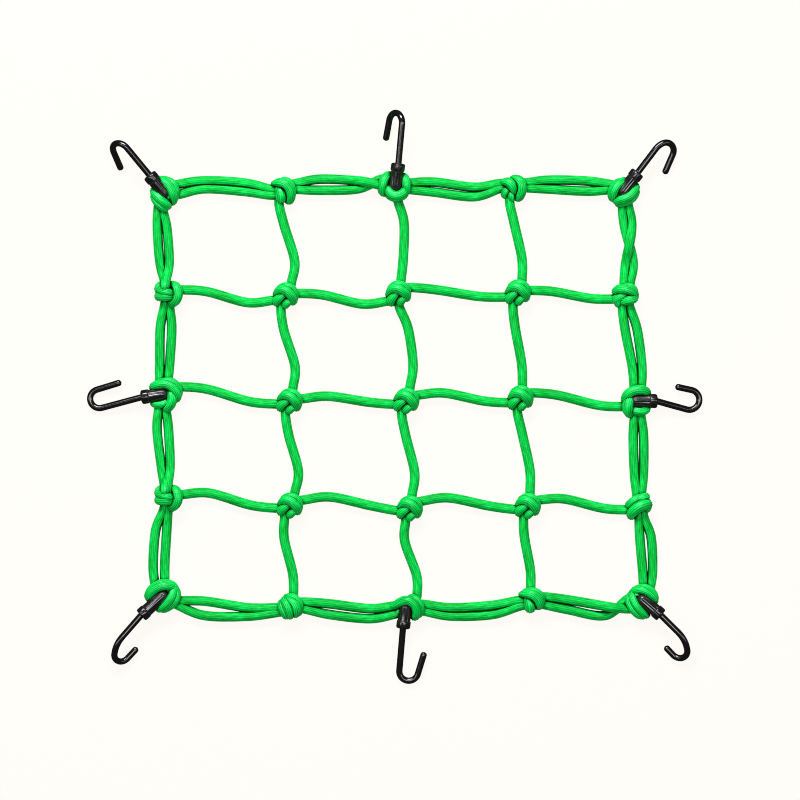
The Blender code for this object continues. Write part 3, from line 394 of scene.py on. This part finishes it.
# Hooks. root is the sleeve's inner end, measured from the knot. Headings are in degrees
# counter-clockwise from +X. side is 1 where the wire bends to the left of its heading and
# -1 to the right. roll is how far the bend leans down from level, in degrees. shank is the
# distance from the sleeve's mouth to the bend, lead the gentle start of the bend, sweep its
# whole turn in degrees, and tip the length of the straight end.
HOOK = ("name", "row", "column", "root_x", "root_y", "sleeve_length", "sleeve_heading", "heading",
        "side", "roll", "shank", "lead_radius", "lead_angle", "bend_radius", "sweep", "tip")
HOOKS = (
    ("far_left", 0, 0, 1.8, -1.2, 19.5, 129.6, 129.4, 1, 47, 24.2, 7.0, 10, 7.0, 157, 12.6),
    ("far_middle", 0, 2, -0.1, -2.1, 19.1, 82.3, 84.8, 1, 49, 27.6, 7.0, 10, 7.0, 172, 12.7),
    ("far_right", 0, 4, -2.6, -2.0, 20.0, 52.0, 52.8, -1, 28, 20.2, 12.0, 30, 6.5, 164, 12.9),
    ("left", 2, 0, 1.3, 1.6, 18.5, 189.0, 194.8, -1, 0, 29.2, 6.6, 10, 6.6, 178, 16.2),
    ("right", 2, 4, -4.4, 0.9, 18.5, -1.0, -15.3, 1, 0, 22.2, 7.0, 10, 7.0, 183, 9.8),
    ("near_left", 4, 0, 2.6, 2.6, 23.7, 222.0, 229.0, 1, 35, 19.7, 20.0, 40, 6.0, 178, 8.0),
    ("near_middle", 4, 2, -2.7, 4.3, 18.5, 263.0, 265.2, 1, 0, 30.2, 6.6, 10, 6.6, 168, 14.2),
    ("near_right", 4, 4, -2.5, 4.4, 20.5, -41.0, -44.8, -1, 32, 16.6, 20.0, 42, 6.3, 182, 6.1),
)


def rows(columns, table):
    """Each row of a table with its column names."""
    return [dict(zip(columns, row)) for row in table]


# ---- node helpers

def link(tree, source, target):
    tree.links.new(source, target)


def add_node(tree, kind, **settings):
    node = tree.nodes.new(kind)
    for name, value in settings.items():
        setattr(node, name, value)
    return node


def add_after(tree, source, kind, **settings):
    """A node whose first input is the given output."""
    node = add_node(tree, kind, **settings)
    link(tree, source, node.inputs[0])
    return node


def set_inputs(node, values):
    for title, value in values.items():
        node.inputs[title].default_value = value


def maths(tree, operation, first, second=None, third=None):
    """A Math node. Each input is a number or another node's output."""
    node = add_node(tree, "ShaderNodeMath", operation=operation)
    for socket, value in zip(node.inputs, (first, second, third)):
        if value is None:
            continue
        if isinstance(value, (int, float)):
            socket.default_value = value
        else:
            link(tree, value, socket)
    return node.outputs[0]


def blend_colours(tree, share, low, high):
    """A colour between two others. Each input is a value, a colour or an output."""
    node = add_node(tree, "ShaderNodeMix", data_type="RGBA")
    for socket, value in ((node.inputs[0], share), (node.inputs[6], low), (node.inputs[7], high)):
        if isinstance(value, (int, float, tuple)):
            socket.default_value = value
        else:
            link(tree, value, socket)
    return node.outputs[2]


# ---- cord geometry

def tube_tree():
    """Sweeps a ribbed tube along each run of edges, with a UV map that follows the cord."""
    tree = bpy.data.node_groups.new("ribbed_tube", "GeometryNodeTree")
    face = tree.interface
    face.new_socket("Path", in_out="INPUT", socket_type="NodeSocketGeometry")
    inputs = (("Ring step", "NodeSocketFloat", RING_STEP * MM), ("Sides", "NodeSocketInt", CORD_SIDES),
              ("Ribs", "NodeSocketFloat", RIB_COUNT), ("Rib depth", "NodeSocketFloat", 0.0),
              ("Finish", "NodeSocketMaterial", None))
    for name, kind, value in inputs:
        socket = face.new_socket(name, in_out="INPUT", socket_type=kind)
        if value is not None:
            socket.default_value = value
    face.new_socket("Tube", in_out="OUTPUT", socket_type="NodeSocketGeometry")
    given = add_node(tree, "NodeGroupInput").outputs
    end = add_node(tree, "NodeGroupOutput")

    curve = add_after(tree, given["Path"], "GeometryNodeMeshToCurve")
    soft = add_after(tree, curve.outputs[0], "GeometryNodeCurveSplineType", spline_type="CATMULL_ROM")
    steps = add_after(tree, soft.outputs[0], "GeometryNodeSetSplineResolution")
    set_inputs(steps, {"Resolution": CURVE_STEPS})
    even = add_after(tree, steps.outputs[0], "GeometryNodeResampleCurve", mode="LENGTH")
    link(tree, given["Ring step"], even.inputs["Length"])

    # distance along the cord, kept for the UV map
    spline = add_node(tree, "GeometryNodeSplineParameter")
    along = add_after(tree, even.outputs[0], "GeometryNodeCaptureAttribute", domain="POINT")
    along.capture_items.new("FLOAT", "Length")
    link(tree, spline.outputs["Length"], along.inputs[1])

    # an open circle, so that the UV map has a clean seam
    ring = add_node(tree, "GeometryNodeCurveArc")
    set_inputs(ring, {"Radius": 1.0, "Sweep Angle": 2 * math.pi})
    link(tree, maths(tree, "ADD", given["Sides"], 1), ring.inputs["Resolution"])
    around = add_after(tree, ring.outputs[0], "GeometryNodeCaptureAttribute", domain="POINT")
    around.capture_items.new("FLOAT", "Factor")
    link(tree, spline.outputs["Factor"], around.inputs[1])

    # ribs stand out from the circle
    wave = maths(tree, "COSINE", maths(tree, "MULTIPLY", around.outputs[1],
                                       maths(tree, "MULTIPLY", given["Ribs"], 2 * math.pi)))
    height = maths(tree, "MULTIPLY_ADD", wave, given["Rib depth"], 1.0)
    place = add_node(tree, "GeometryNodeInputPosition")
    grown = add_after(tree, place.outputs[0], "ShaderNodeVectorMath", operation="SCALE")
    link(tree, height, grown.inputs["Scale"])
    ribbed = add_after(tree, around.outputs[0], "GeometryNodeSetPosition")
    link(tree, grown.outputs[0], ribbed.inputs["Position"])

    radius = add_node(tree, "GeometryNodeInputNamedAttribute", data_type="FLOAT")
    set_inputs(radius, {"Name": "cord_radius"})
    sweep = add_after(tree, along.outputs[0], "GeometryNodeCurveToMesh")
    link(tree, ribbed.outputs[0], sweep.inputs["Profile Curve"])
    link(tree, radius.outputs["Attribute"], sweep.inputs["Scale"])

    # UV map: once round the cord, and once for each length equal to its girth
    pair = add_after(tree, around.outputs[1], "ShaderNodeCombineXYZ")
    length = maths(tree, "DIVIDE", along.outputs[1], 2 * math.pi * CORD_RADIUS * MM)
    link(tree, length, pair.inputs[1])
    mapped = add_after(tree, sweep.outputs[0], "GeometryNodeStoreNamedAttribute",
                       data_type="FLOAT2", domain="CORNER")
    set_inputs(mapped, {"Name": "UVMap"})
    link(tree, pair.outputs[0], mapped.inputs["Value"])

    closed = add_after(tree, mapped.outputs[0], "GeometryNodeMergeByDistance")
    set_inputs(closed, {"Distance": MERGE_DISTANCE * MM})
    smooth = add_after(tree, closed.outputs[0], "GeometryNodeSetShadeSmooth")
    real = add_after(tree, smooth.outputs[0], "GeometryNodeRealizeInstances")
    finish = add_after(tree, real.outputs[0], "GeometryNodeSetMaterial")
    link(tree, given["Finish"], finish.inputs["Material"])
    link(tree, finish.outputs[0], end.inputs[0])
    return tree


def through(points, share):
    """The point at a share of the way along a smooth curve through the given points."""
    spans = len(points) - 1
    place = min(max(share, 0.0), 1.0) * spans
    i = min(int(place), spans - 1)
    t = place - i
    b = points[i]
    c = points[i + 1]
    a = points[i - 1] if i > 0 else b + (b - c)
    d = points[i + 2] if i + 2 <= spans else c + (c - b)
    return 0.5 * (2 * b + (c - a) * t + (2 * a - 5 * b + 4 * c - d) * t ** 2
                  + (3 * b - a - 3 * c + d) * t ** 3)


def swept_piece(name, paths, tree, settings):
    """One mesh of tubes. Each path is a list of points and a list of radii, in millimetres."""
    points = []
    edges = []
    radii = []
    for path, sizes in paths:
        first = len(points)
        points += [point * MM for point in path]
        radii += [size * MM for size in sizes]
        edges += [(first + i, first + i + 1) for i in range(len(path) - 1)]
    data = bpy.data.meshes.new(name + "_path")
    data.from_pydata(points, edges, [])
    stored = data.attributes.new("cord_radius", "FLOAT", "POINT")
    stored.data.foreach_set("value", radii)
    item = bpy.data.objects.new(name, data)
    bpy.context.scene.collection.objects.link(item)
    grow = item.modifiers.new("sweep", "NODES")
    grow.node_group = tree
    for socket in tree.interface.items_tree:
        if socket.in_out == "INPUT" and socket.name in settings:
            grow[socket.identifier] = settings[socket.name]
    graph = bpy.context.evaluated_depsgraph_get()
    made = bpy.data.meshes.new_from_object(item.evaluated_get(graph))
    made.name = name
    item.modifiers.clear()
    item.data = made
    bpy.data.meshes.remove(data)
    return item


def knot_at(row, column):
    return Vector((*KNOTS[row][column], 0.0))


def strand_path(strand, next_row, next_column):
    """Points along one strand, from inside its first knot to inside the next one."""
    start = knot_at(strand["row"], strand["column"])
    end = knot_at(next_row, next_column)
    span = (end - start).length
    along = (end - start) / span
    across = Vector((-along.y, along.x, 0.0))
    entry = CORD_ENTRY / span
    inside = CORD_INSIDE_KNOT / span
    marks = (
        (inside, strand["leave"] * OFFSET_INSIDE, KNOT_HEIGHT),
        (entry, strand["leave"], KNOT_HEIGHT - ENTRY_DROP),
        (1 / 3, strand["third"], FLOOR_HEIGHT),
        (2 / 3, strand["two_thirds"], FLOOR_HEIGHT),
        (1 - entry, strand["arrive"], KNOT_HEIGHT - ENTRY_DROP),
        (1 - inside, strand["arrive"] * OFFSET_INSIDE, KNOT_HEIGHT),
    )
    points = []
    for share, offset, height in marks:
        points.append(start + along * span * share + across * offset + Vector((0, 0, height)))
    path = []
    for i in range(STRAND_POINTS):
        point = through(points, i / (STRAND_POINTS - 1))
        share = (point - start).dot(along) / span
        if strand["over"]:
            rise = math.exp(-((share - strand["over"]) / CROSSING_SPREAD) ** 2)
            point.z += CROSSING_LIFT * rise
        point.z = max(point.z, FLOOR_HEIGHT)
        path.append(point)
    return path


def closed_ends(path, radii):
    """Add points at both ends where the tube narrows to nothing, so that it is closed."""
    far, narrow = END_SHOULDER
    first = (path[0] - path[1]).normalized() * radii[0]
    last = (path[-1] - path[-2]).normalized() * radii[-1]
    path = [path[0] + first, path[0] + first * far] + path + [path[-1] + last * far, path[-1] + last]
    radii = [END_RADIUS, radii[0] * narrow] + radii + [radii[-1] * narrow, END_RADIUS]
    return path, radii


def strand_radii(count):
    """Radii along a strand: thin at both knots, and soon as wide as the free cord."""
    radii = []
    for i in range(count):
        middle = math.sin(math.pi * i / (count - 1)) ** 0.5
        radii.append(CORD_RADIUS_AT_KNOT + (CORD_RADIUS - CORD_RADIUS_AT_KNOT) * middle)
    return radii


def knot_turns(row, column):
    """The turns of cord of one knot, in their places."""
    centre = knot_at(row, column)
    turned = math.radians(KNOT_TURNED.get((row, column), 0))
    made = []
    for turn in rows(TURN, TURNS[KNOT_KINDS[row][column]]):
        path = []
        radii = []
        for x, y, z, *own in turn["points"]:
            radius = own[0] if own else turn["radius"]
            place = Vector((x * math.cos(turned) - y * math.sin(turned),
                            x * math.sin(turned) + y * math.cos(turned),
                            max(z, radius + KNOT_CLEARANCE)))
            path.append(centre + place)
            radii.append(radius)
        made.append(closed_ends(path, radii))
    return made


# ---- hooks

def hook_frame(hook, pitch):
    """Directions of a hook: along its sleeve, along its shank and towards its tip."""
    level = math.cos(pitch)
    rise = Vector((0, 0, math.sin(pitch)))
    turn = math.radians(hook["sleeve_heading"])
    sleeve = Vector((math.cos(turn), math.sin(turn), 0)) * level + rise
    turn = math.radians(hook["heading"])
    shank = Vector((math.cos(turn), math.sin(turn), 0)) * level + rise
    left = Vector((-math.sin(turn), math.cos(turn), 0))
    up = shank.cross(left)
    roll = math.radians(hook["roll"])
    tip = left * hook["side"] * math.cos(roll) - up * math.sin(roll)
    return sleeve, shank, tip


def hook_root(hook):
    return knot_at(hook["row"], hook["column"]) + Vector(
        (hook["root_x"], hook["root_y"], HOOK_ROOT_HEIGHT))


def wire_path(hook, pitch):
    """Centre line of the wire, from inside the sleeve to the tip, and the tip's direction."""
    sleeve, shank, tip = hook_frame(hook, pitch)
    mouth = hook_root(hook) + sleeve * hook["sleeve_length"]
    path = [mouth - sleeve * (BORE_DEPTH - SEAT_GAP), mouth - sleeve * WIRE_IN_MOUTH,
            mouth + shank * SHANK_START]
    bend = mouth + shank * hook["shank"]
    for i in range(1, SHANK_STEPS + 1):
        path.append(mouth + shank * (SHANK_START + (hook["shank"] - SHANK_START) * i / SHANK_STEPS))
    lead = math.radians(hook["lead_angle"])
    sweep = math.radians(hook["sweep"])
    wide = hook["lead_radius"]
    tight = hook["bend_radius"]
    for i in range(1, BEND_STEPS + 1):
        turn = sweep * i / BEND_STEPS
        if turn <= lead:
            forward = wide * math.sin(turn)
            aside = wide * (1 - math.cos(turn))
        else:
            forward = wide * math.sin(lead) + tight * (math.sin(turn) - math.sin(lead))
            aside = wide * (1 - math.cos(lead)) + tight * (math.cos(lead) - math.cos(turn))
        path.append(bend + shank * forward + tip * aside)
    out = shank * math.cos(sweep) + tip * math.sin(sweep)
    for _ in range(TIP_STEPS):
        path.append(path[-1] + out * hook["tip"] / TIP_STEPS)
    return path, out


def hook_pitch(hook):
    """The slope at which the hook's bend or tip lies on the surface."""
    low = math.radians(-STEEPEST_SLOPE)
    high = math.radians(STEEPEST_SLOPE)
    for _ in range(SLOPE_TRIES):
        middle = (low + high) / 2
        lowest = min(point.z for point in wire_path(hook, middle)[0][3:])
        if lowest > WIRE_RADIUS + WIRE_FLOOR_GAP:
            high = middle
        else:
            low = middle
    return high


# ---- materials

def principled(name):
    made = bpy.data.materials.new(name)
    made.use_nodes = True
    return made, made.node_tree, made.node_tree.nodes["Principled BSDF"]


def shader_group(name, inputs, outputs):
    """An empty shader node group. Inputs are names with values, outputs are names with kinds."""
    tree = bpy.data.node_groups.new(name, "ShaderNodeTree")
    for title, value in inputs:
        kind = "NodeSocketColor" if isinstance(value, tuple) else "NodeSocketFloat"
        socket = tree.interface.new_socket(title, in_out="INPUT", socket_type=kind)
        socket.default_value = value
    for title, kind in outputs:
        tree.interface.new_socket(title, in_out="OUTPUT", socket_type=kind)
    given = add_node(tree, "NodeGroupInput").outputs
    end = add_node(tree, "NodeGroupOutput").inputs
    return tree, given, end


def place_group(tree, group, values):
    """Put a shader group into a material, with that material's own values."""
    node = add_node(tree, "ShaderNodeGroup", node_tree=group)
    set_inputs(node, values)
    return node.outputs


def braided_cover():
    """Group: colour and height of a braided cover, on the cord's UV map, with painted shade in grooves and
    creases.
    """
    tree, given, end = shader_group(
        "braided_cover",
        (("Dye offset", -0.5), ("Rib contrast", 1.0), ("Stitch wear and highlight share", 0.15),
         ("Painted crease shade reach", 0.0022), ("Painted crease shade edge", 0.6)),
        (("Colour", "NodeSocketColor"), ("Height", "NodeSocketFloat")))
    uv = add_node(tree, "ShaderNodeUVMap", uv_map="UVMap")
    parts = add_after(tree, uv.outputs[0], "ShaderNodeSeparateXYZ")
    around = parts.outputs[0]
    along = parts.outputs[1]

    # a rib's place across it, and stitches that lean the other way on every second rib
    rib = maths(tree, "MULTIPLY", around, RIB_COUNT)
    across = maths(tree, "SUBTRACT", maths(tree, "FRACT", maths(tree, "ADD", rib, 0.5)), 0.5)
    which = maths(tree, "FLOOR", maths(tree, "ADD", rib, 0.5))
    odd = maths(tree, "MULTIPLY_ADD", maths(tree, "MODULO", maths(tree, "ABSOLUTE", which), 2), 2, -1)
    slant = maths(tree, "MULTIPLY", maths(tree, "MULTIPLY", across, odd), STITCH_SLANT)
    turns = maths(tree, "MULTIPLY_ADD", along, STITCHES, slant)
    stitch = maths(tree, "SINE", maths(tree, "MULTIPLY", turns, 2 * math.pi))
    off_middle = maths(tree, "ABSOLUTE", maths(tree, "MULTIPLY", across, 2))
    groove = maths(tree, "POWER", off_middle, GROOVE_SHARPNESS)

    # uneven dye along the cord, and painted shade between ribs that is darker here and there
    coords = add_node(tree, "ShaderNodeTexCoord")
    cloud = add_after(tree, coords.outputs["Object"], "ShaderNodeTexNoise")
    set_inputs(cloud, {"Scale": CLOUD_SCALE, "Detail": 3.0})
    streak_place = add_node(tree, "ShaderNodeCombineXYZ")
    link(tree, maths(tree, "MULTIPLY", which, STREAK_APART), streak_place.inputs[0])
    link(tree, maths(tree, "MULTIPLY", along, STREAK_RATE), streak_place.inputs[1])
    streak = add_after(tree, streak_place.outputs[0], "ShaderNodeTexNoise")
    set_inputs(streak, {"Scale": 1.0, "Detail": 2.0})

    tone = maths(tree, "ADD", maths(tree, "MULTIPLY", cloud.outputs["Fac"], CLOUD_SHARE),
                 maths(tree, "MULTIPLY", streak.outputs["Fac"], STREAK_SHARE))
    tone = maths(tree, "ADD", tone, given["Dye offset"])
    colour = blend_colours(tree, tone, DYE_DEEP, DYE_LIGHT)
    # painted shade in the grooves between ribs, stronger here and there
    depth = maths(tree, "MULTIPLY_ADD", streak.outputs["Fac"], *GROOVE_FADE)
    depth = maths(tree, "MULTIPLY", depth, given["Rib contrast"])
    groove_shade_share = add_after(tree, maths(tree, "MULTIPLY", groove, depth), "ShaderNodeClamp")
    colour = blend_colours(tree, groove_shade_share.outputs[0], colour, PAINTED_GROOVE_SHADE)
    # stitch crests lighter from wear and a painted highlight on the raised crest
    crest = maths(tree, "GREATER_THAN", stitch, STITCH_CREST)
    crest_wear_and_highlight = maths(tree, "MULTIPLY", crest, given["Stitch wear and highlight share"])
    colour = blend_colours(tree, crest_wear_and_highlight, colour, STITCH_WEAR_AND_HIGHLIGHT)

    # painted shade: the cord is darkened where it meets another in a knot
    crease = add_node(tree, "ShaderNodeAmbientOcclusion", samples=32)
    link(tree, given["Painted crease shade reach"], crease.inputs["Distance"])
    shade = add_after(tree, crease.outputs["AO"], "ShaderNodeMapRange", interpolation_type="SMOOTHSTEP")
    set_inputs(shade, {"From Min": PAINTED_CREASE_SHADE_DEEPEST})
    link(tree, given["Painted crease shade edge"], shade.inputs["From Max"])
    colour = blend_colours(tree, shade.outputs["Result"], PAINTED_CREASE_SHADE, colour)
    link(tree, colour, end["Colour"])

    height = maths(tree, "ADD", maths(tree, "MULTIPLY", groove, -1.0),
                   maths(tree, "MULTIPLY", stitch, STITCH_HEIGHT))
    link(tree, height, end["Height"])
    return tree


def cord_finish(name, cover, gloss, roughness, relief, values):
    """Braided cover of the elastic cord. It is glossier and its ribs show more where it is taut."""
    made, tree, shader = principled(name)
    braid = place_group(tree, cover, values)
    link(tree, braid["Colour"], shader.inputs["Base Color"])
    set_inputs(shader, {"Roughness": roughness, "Specular IOR Level": gloss, "Specular Tint": SHEEN_TINT})
    bump = add_node(tree, "ShaderNodeBump")
    set_inputs(bump, {"Strength": relief, "Distance": BRAID_RELIEF * MM})
    link(tree, braid["Height"], bump.inputs["Height"])
    link(tree, bump.outputs[0], shader.inputs["Normal"])
    return made


def mottle():
    """Group: the slight unevenness of a black plastic surface, duller where a knot rubs it."""
    tree, given, end = shader_group(
        "mottle",
        (("Scale", 180.0), ("Dark", (0.002, 0.0016, 0.0016, 1)), ("Light", (0.008, 0.007, 0.007, 1)),
         ("Smoothest", 0.12), ("Roughest", 0.24), ("Shelter reach", 0.001)),
        (("Colour", "NodeSocketColor"), ("Roughness", "NodeSocketFloat"), ("Height", "NodeSocketFloat")))
    coords = add_node(tree, "ShaderNodeTexCoord")
    cloud = add_after(tree, coords.outputs["Object"], "ShaderNodeTexNoise")
    set_inputs(cloud, {"Detail": 4.0})
    link(tree, given["Scale"], cloud.inputs["Scale"])
    share = cloud.outputs["Fac"]
    link(tree, blend_colours(tree, share, given["Dark"], given["Light"]), end["Colour"])
    range_of = maths(tree, "SUBTRACT", given["Roughest"], given["Smoothest"])
    rough = maths(tree, "MULTIPLY_ADD", share, range_of, given["Smoothest"])
    # plastic that cord has rubbed, where it sits inside a knot, is dull
    shelter = add_node(tree, "ShaderNodeAmbientOcclusion", samples=16)
    link(tree, given["Shelter reach"], shelter.inputs["Distance"])
    rubbed = add_after(tree, shelter.outputs["AO"], "ShaderNodeMapRange", interpolation_type="SMOOTHSTEP")
    set_inputs(rubbed, {"From Min": RUBBED_RANGE[0], "From Max": RUBBED_RANGE[1]})
    dulled = maths(tree, "MULTIPLY_ADD", rubbed.outputs["Result"], RUBBED_DULLNESS, rough)
    link(tree, dulled, end["Roughness"])
    link(tree, share, end["Height"])
    return tree


def plastic_finish(name, group, relief, values):
    """Black plastic: the coating of the wire, or the moulded sleeve."""
    made, tree, shader = principled(name)
    surface = place_group(tree, group, values)
    link(tree, surface["Colour"], shader.inputs["Base Color"])
    link(tree, surface["Roughness"], shader.inputs["Roughness"])
    set_inputs(shader, {"Specular IOR Level": PLASTIC_GLOSS})
    bump = add_node(tree, "ShaderNodeBump")
    set_inputs(bump, {"Strength": relief, "Distance": PLASTIC_RELIEF * MM})
    link(tree, surface["Height"], bump.inputs["Height"])
    link(tree, bump.outputs[0], shader.inputs["Normal"])
    return made


# ---- pieces

def lathe(name, start, along, profile):
    """A closed turned piece. The profile gives distances along it, radii and flute shares."""
    side = along.cross(Vector((0, 0, 1))).normalized()
    up = side.cross(along)
    points = []
    faces = []
    for distance, radius, share in profile:
        for k in range(SLEEVE_SIDES):
            turn = 2 * math.pi * k / SLEEVE_SIDES
            reach = radius - share * FLUTE_DEPTH * (0.5 + 0.5 * math.cos(FLUTES * turn)) ** 2
            place = start + along * distance + reach * (math.cos(turn) * side + math.sin(turn) * up)
            points.append(place * MM)
    for first in range(0, len(points) - SLEEVE_SIDES, SLEEVE_SIDES):
        for k in range(SLEEVE_SIDES):
            j = (k + 1) % SLEEVE_SIDES
            faces.append((first + k, first + j, first + SLEEVE_SIDES + j, first + SLEEVE_SIDES + k))
    faces.append(tuple(reversed(range(SLEEVE_SIDES))))
    faces.append(tuple(range(len(points) - SLEEVE_SIDES, len(points))))
    data = bpy.data.meshes.new(name)
    data.from_pydata(points, [], faces)
    data.update()
    item = bpy.data.objects.new(name, data)
    bpy.context.scene.collection.objects.link(item)
    data.shade_smooth()
    data.set_sharp_from_angle(angle=math.radians(SHARP_EDGE))
    return item


def make_sleeve(hook, pitch, finish):
    """A moulded sleeve: rounded inner end, fluted body, groove, collar and bore."""
    sleeve = hook_frame(hook, pitch)[0]
    mouth = hook["sleeve_length"]
    collar = mouth - COLLAR_LENGTH
    profile = []
    for degrees in range(0, 91, 15):
        angle = math.radians(degrees)
        share = SLEEVE_END_FLAT + (1 - SLEEVE_END_FLAT) * math.sin(angle)
        profile.append((SLEEVE_ROUNDING * (1 - math.cos(angle)), SLEEVE_RADIUS * share,
                        0.4 * math.sin(angle)))
    wide = SLEEVE_RADIUS + SLEEVE_SPREAD
    profile += [
        # body
        (SLEEVE_ROUNDING + 2.0, SLEEVE_RADIUS + 0.05, 1.0), (collar - 1.0, wide, 1.0),
        # groove before the collar
        (collar - 0.3, wide, 0.3), (collar - 0.1, wide - 0.3, 0.0), (collar + 0.1, wide - 0.1, 0.0),
        # collar, with rounded edges
        (collar + 0.5, COLLAR_RADIUS - 0.2, 0.0), (collar + 1.0, COLLAR_RADIUS, 0.5),
        (mouth - 1.4, COLLAR_RADIUS, 0.5), (mouth - 0.7, COLLAR_RADIUS - 0.1, 0.2),
        (mouth - 0.2, COLLAR_RADIUS - 0.5, 0.0), (mouth, COLLAR_RADIUS - 1.0, 0.0),
        # bore
        (mouth, BORE_RADIUS + 0.3, 0.0), (mouth - 0.3, BORE_RADIUS, 0.0),
        (mouth - BORE_DEPTH, BORE_RADIUS, 0.0),
    ]
    item = lathe("sleeve_" + hook["name"], hook_root(hook), sleeve, profile)
    item.data.materials.append(finish)
    return item


def dress():
    """Make every piece and tie it to the node that it replaces."""
    tube = tube_tree()
    cover = braided_cover()
    # crease values set the painted shade in creases, rib contrast the painted shade between ribs, and
    # stitch share the wear and painted highlight on stitch crests
    braid = cord_finish("green_braid", cover, gloss=0.2, roughness=0.55, relief=0.5, values={
        "Dye offset": -0.62, "Rib contrast": 0.8, "Stitch wear and highlight share": 0.04,
        "Painted crease shade reach": 0.0034, "Painted crease shade edge": 0.86})
    taut = cord_finish("green_braid_taut", cover, gloss=0.5, roughness=0.34, relief=0.7, values={
        "Dye offset": -0.34, "Rib contrast": 0.95, "Stitch wear and highlight share": 0.03,
        "Painted crease shade reach": 0.0038, "Painted crease shade edge": 0.88})
    skin = mottle()
    coated = plastic_finish("black_coated_wire", skin, relief=0.01, values={
        "Scale": 180.0, "Dark": (0.0014, 0.0011, 0.001, 1), "Light": (0.005, 0.0042, 0.004, 1),
        "Smoothest": 0.14, "Roughest": 0.19})
    moulded = plastic_finish("black_moulded_sleeve", skin, relief=0.06, values={
        "Scale": 260.0, "Dark": (0.0022, 0.0018, 0.0018, 1), "Light": (0.007, 0.006, 0.006, 1),
        "Smoothest": 0.14, "Roughest": 0.26, "Shelter reach": 0.008})
    cord_settings = {"Ring step": RING_STEP * MM, "Sides": CORD_SIDES, "Ribs": float(RIB_COUNT),
                     "Rib depth": RIB_DEPTH / CORD_RADIUS, "Finish": braid}
    knot_settings = {**cord_settings, "Ring step": KNOT_RING_STEP * MM, "Finish": taut}

    groups = {"rim_cords_across": [], "rim_cords_along": [], "mesh_cords": []}
    ways = ((ROW_STRANDS, "row", 0, 1, "rim_cords_across"),
            (COLUMN_STRANDS, "column", 1, 0, "rim_cords_along"))
    for table, line, down, right, rim in ways:
        for strand in rows(STRAND, table):
            path = strand_path(strand, strand["row"] + down, strand["column"] + right)
            group = rim if strand[line] in (0, 4) else "mesh_cords"
            groups[group].append(closed_ends(path, strand_radii(len(path))))
    pieces = [swept_piece(name, paths, tube, cord_settings) for name, paths in groups.items()]
    for row, knots in enumerate(KNOTS):
        turns = []
        for column in range(len(knots)):
            turns += knot_turns(row, column)
        pieces.append(swept_piece("knots_row_%d" % (row + 1), turns, tube, knot_settings))
    for item in pieces:
        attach(item, "root")
        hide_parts("net")

    for hook in rows(HOOK, HOOKS):
        pitch = hook_pitch(hook)
        path, out = wire_path(hook, pitch)
        sizes = [WIRE_RADIUS] * len(path)
        path += [path[-1] + out * WIRE_RADIUS * far for far, _ in TIP_ROUNDING]
        sizes += [WIRE_RADIUS * narrow for _, narrow in TIP_ROUNDING]
        path = [path[0] - (path[1] - path[0]).normalized() * WIRE_FLAT_END] + path
        sizes = [END_RADIUS] + sizes
        wire = swept_piece("wire_" + hook["name"], [(path, sizes)], tube, {
            "Ring step": WIRE_RING_STEP * MM, "Sides": WIRE_SIDES, "Ribs": 0.0, "Rib depth": 0.0,
            "Finish": coated})
        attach(wire, "root")
        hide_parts("hook_wire_" + hook["name"])
        sleeve = make_sleeve(hook, pitch, moulded)
        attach(sleeve, "root")
        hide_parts("hook_sleeve_" + hook["name"])


# ---- stage

def area_light(light):
    """A rectangular light that faces the middle of the net."""
    data = bpy.data.lights.new(light["name"], "AREA")
    data.shape = "RECTANGLE"
    data.size, data.size_y = light["size"]
    data.energy = light["power"]
    item = bpy.data.objects.new(light["name"], data)
    item.location = light["place"]
    item.rotation_euler = (Vector() - item.location).to_track_quat("-Z", "Y").to_euler()
    item.visible_camera = False
    bpy.context.scene.collection.objects.link(item)


def set_stage():
    """Pale floor that glows a little, soft lights, and a camera straight above."""
    bpy.ops.mesh.primitive_plane_add(size=FLOOR_SIZE, location=(0, 0, 0))
    floor = bpy.context.object
    floor.name = "floor"
    made, _, shader = principled("pale_floor")
    set_inputs(shader, {"Base Color": FLOOR_COLOUR, "Roughness": 0.9, "Specular IOR Level": 0.0,
                        "Emission Color": FLOOR_GLOW, "Emission Strength": FLOOR_GLOW_STRENGTH})
    floor.data.materials.append(made)
    floor.visible_glossy = False

    world = bpy.data.worlds.new("soft_room")
    bpy.context.scene.world = world
    world.use_nodes = True
    set_inputs(world.node_tree.nodes["Background"], {"Color": (1, 1, 1, 1), "Strength": ROOM_STRENGTH})

    for light in rows(LIGHT, LIGHTS):
        area_light(light)

    camera = bpy.data.cameras.new("camera")
    camera.lens = LENS
    camera.sensor_width = SENSOR
    camera.clip_end = FARTHEST
    item = bpy.data.objects.new("camera", camera)
    item.location = (FRAME_CENTRE[0] * MM, FRAME_CENTRE[1] * MM,
                     FRAME_WIDTH * MM * LENS / SENSOR + FLOOR_HEIGHT * MM)
    bpy.context.scene.collection.objects.link(item)
    bpy.context.scene.camera = item
    bpy.context.scene.view_settings.view_transform = "Standard"
    bpy.context.scene.cycles.filter_width = 1.0


dress()
set_stage()
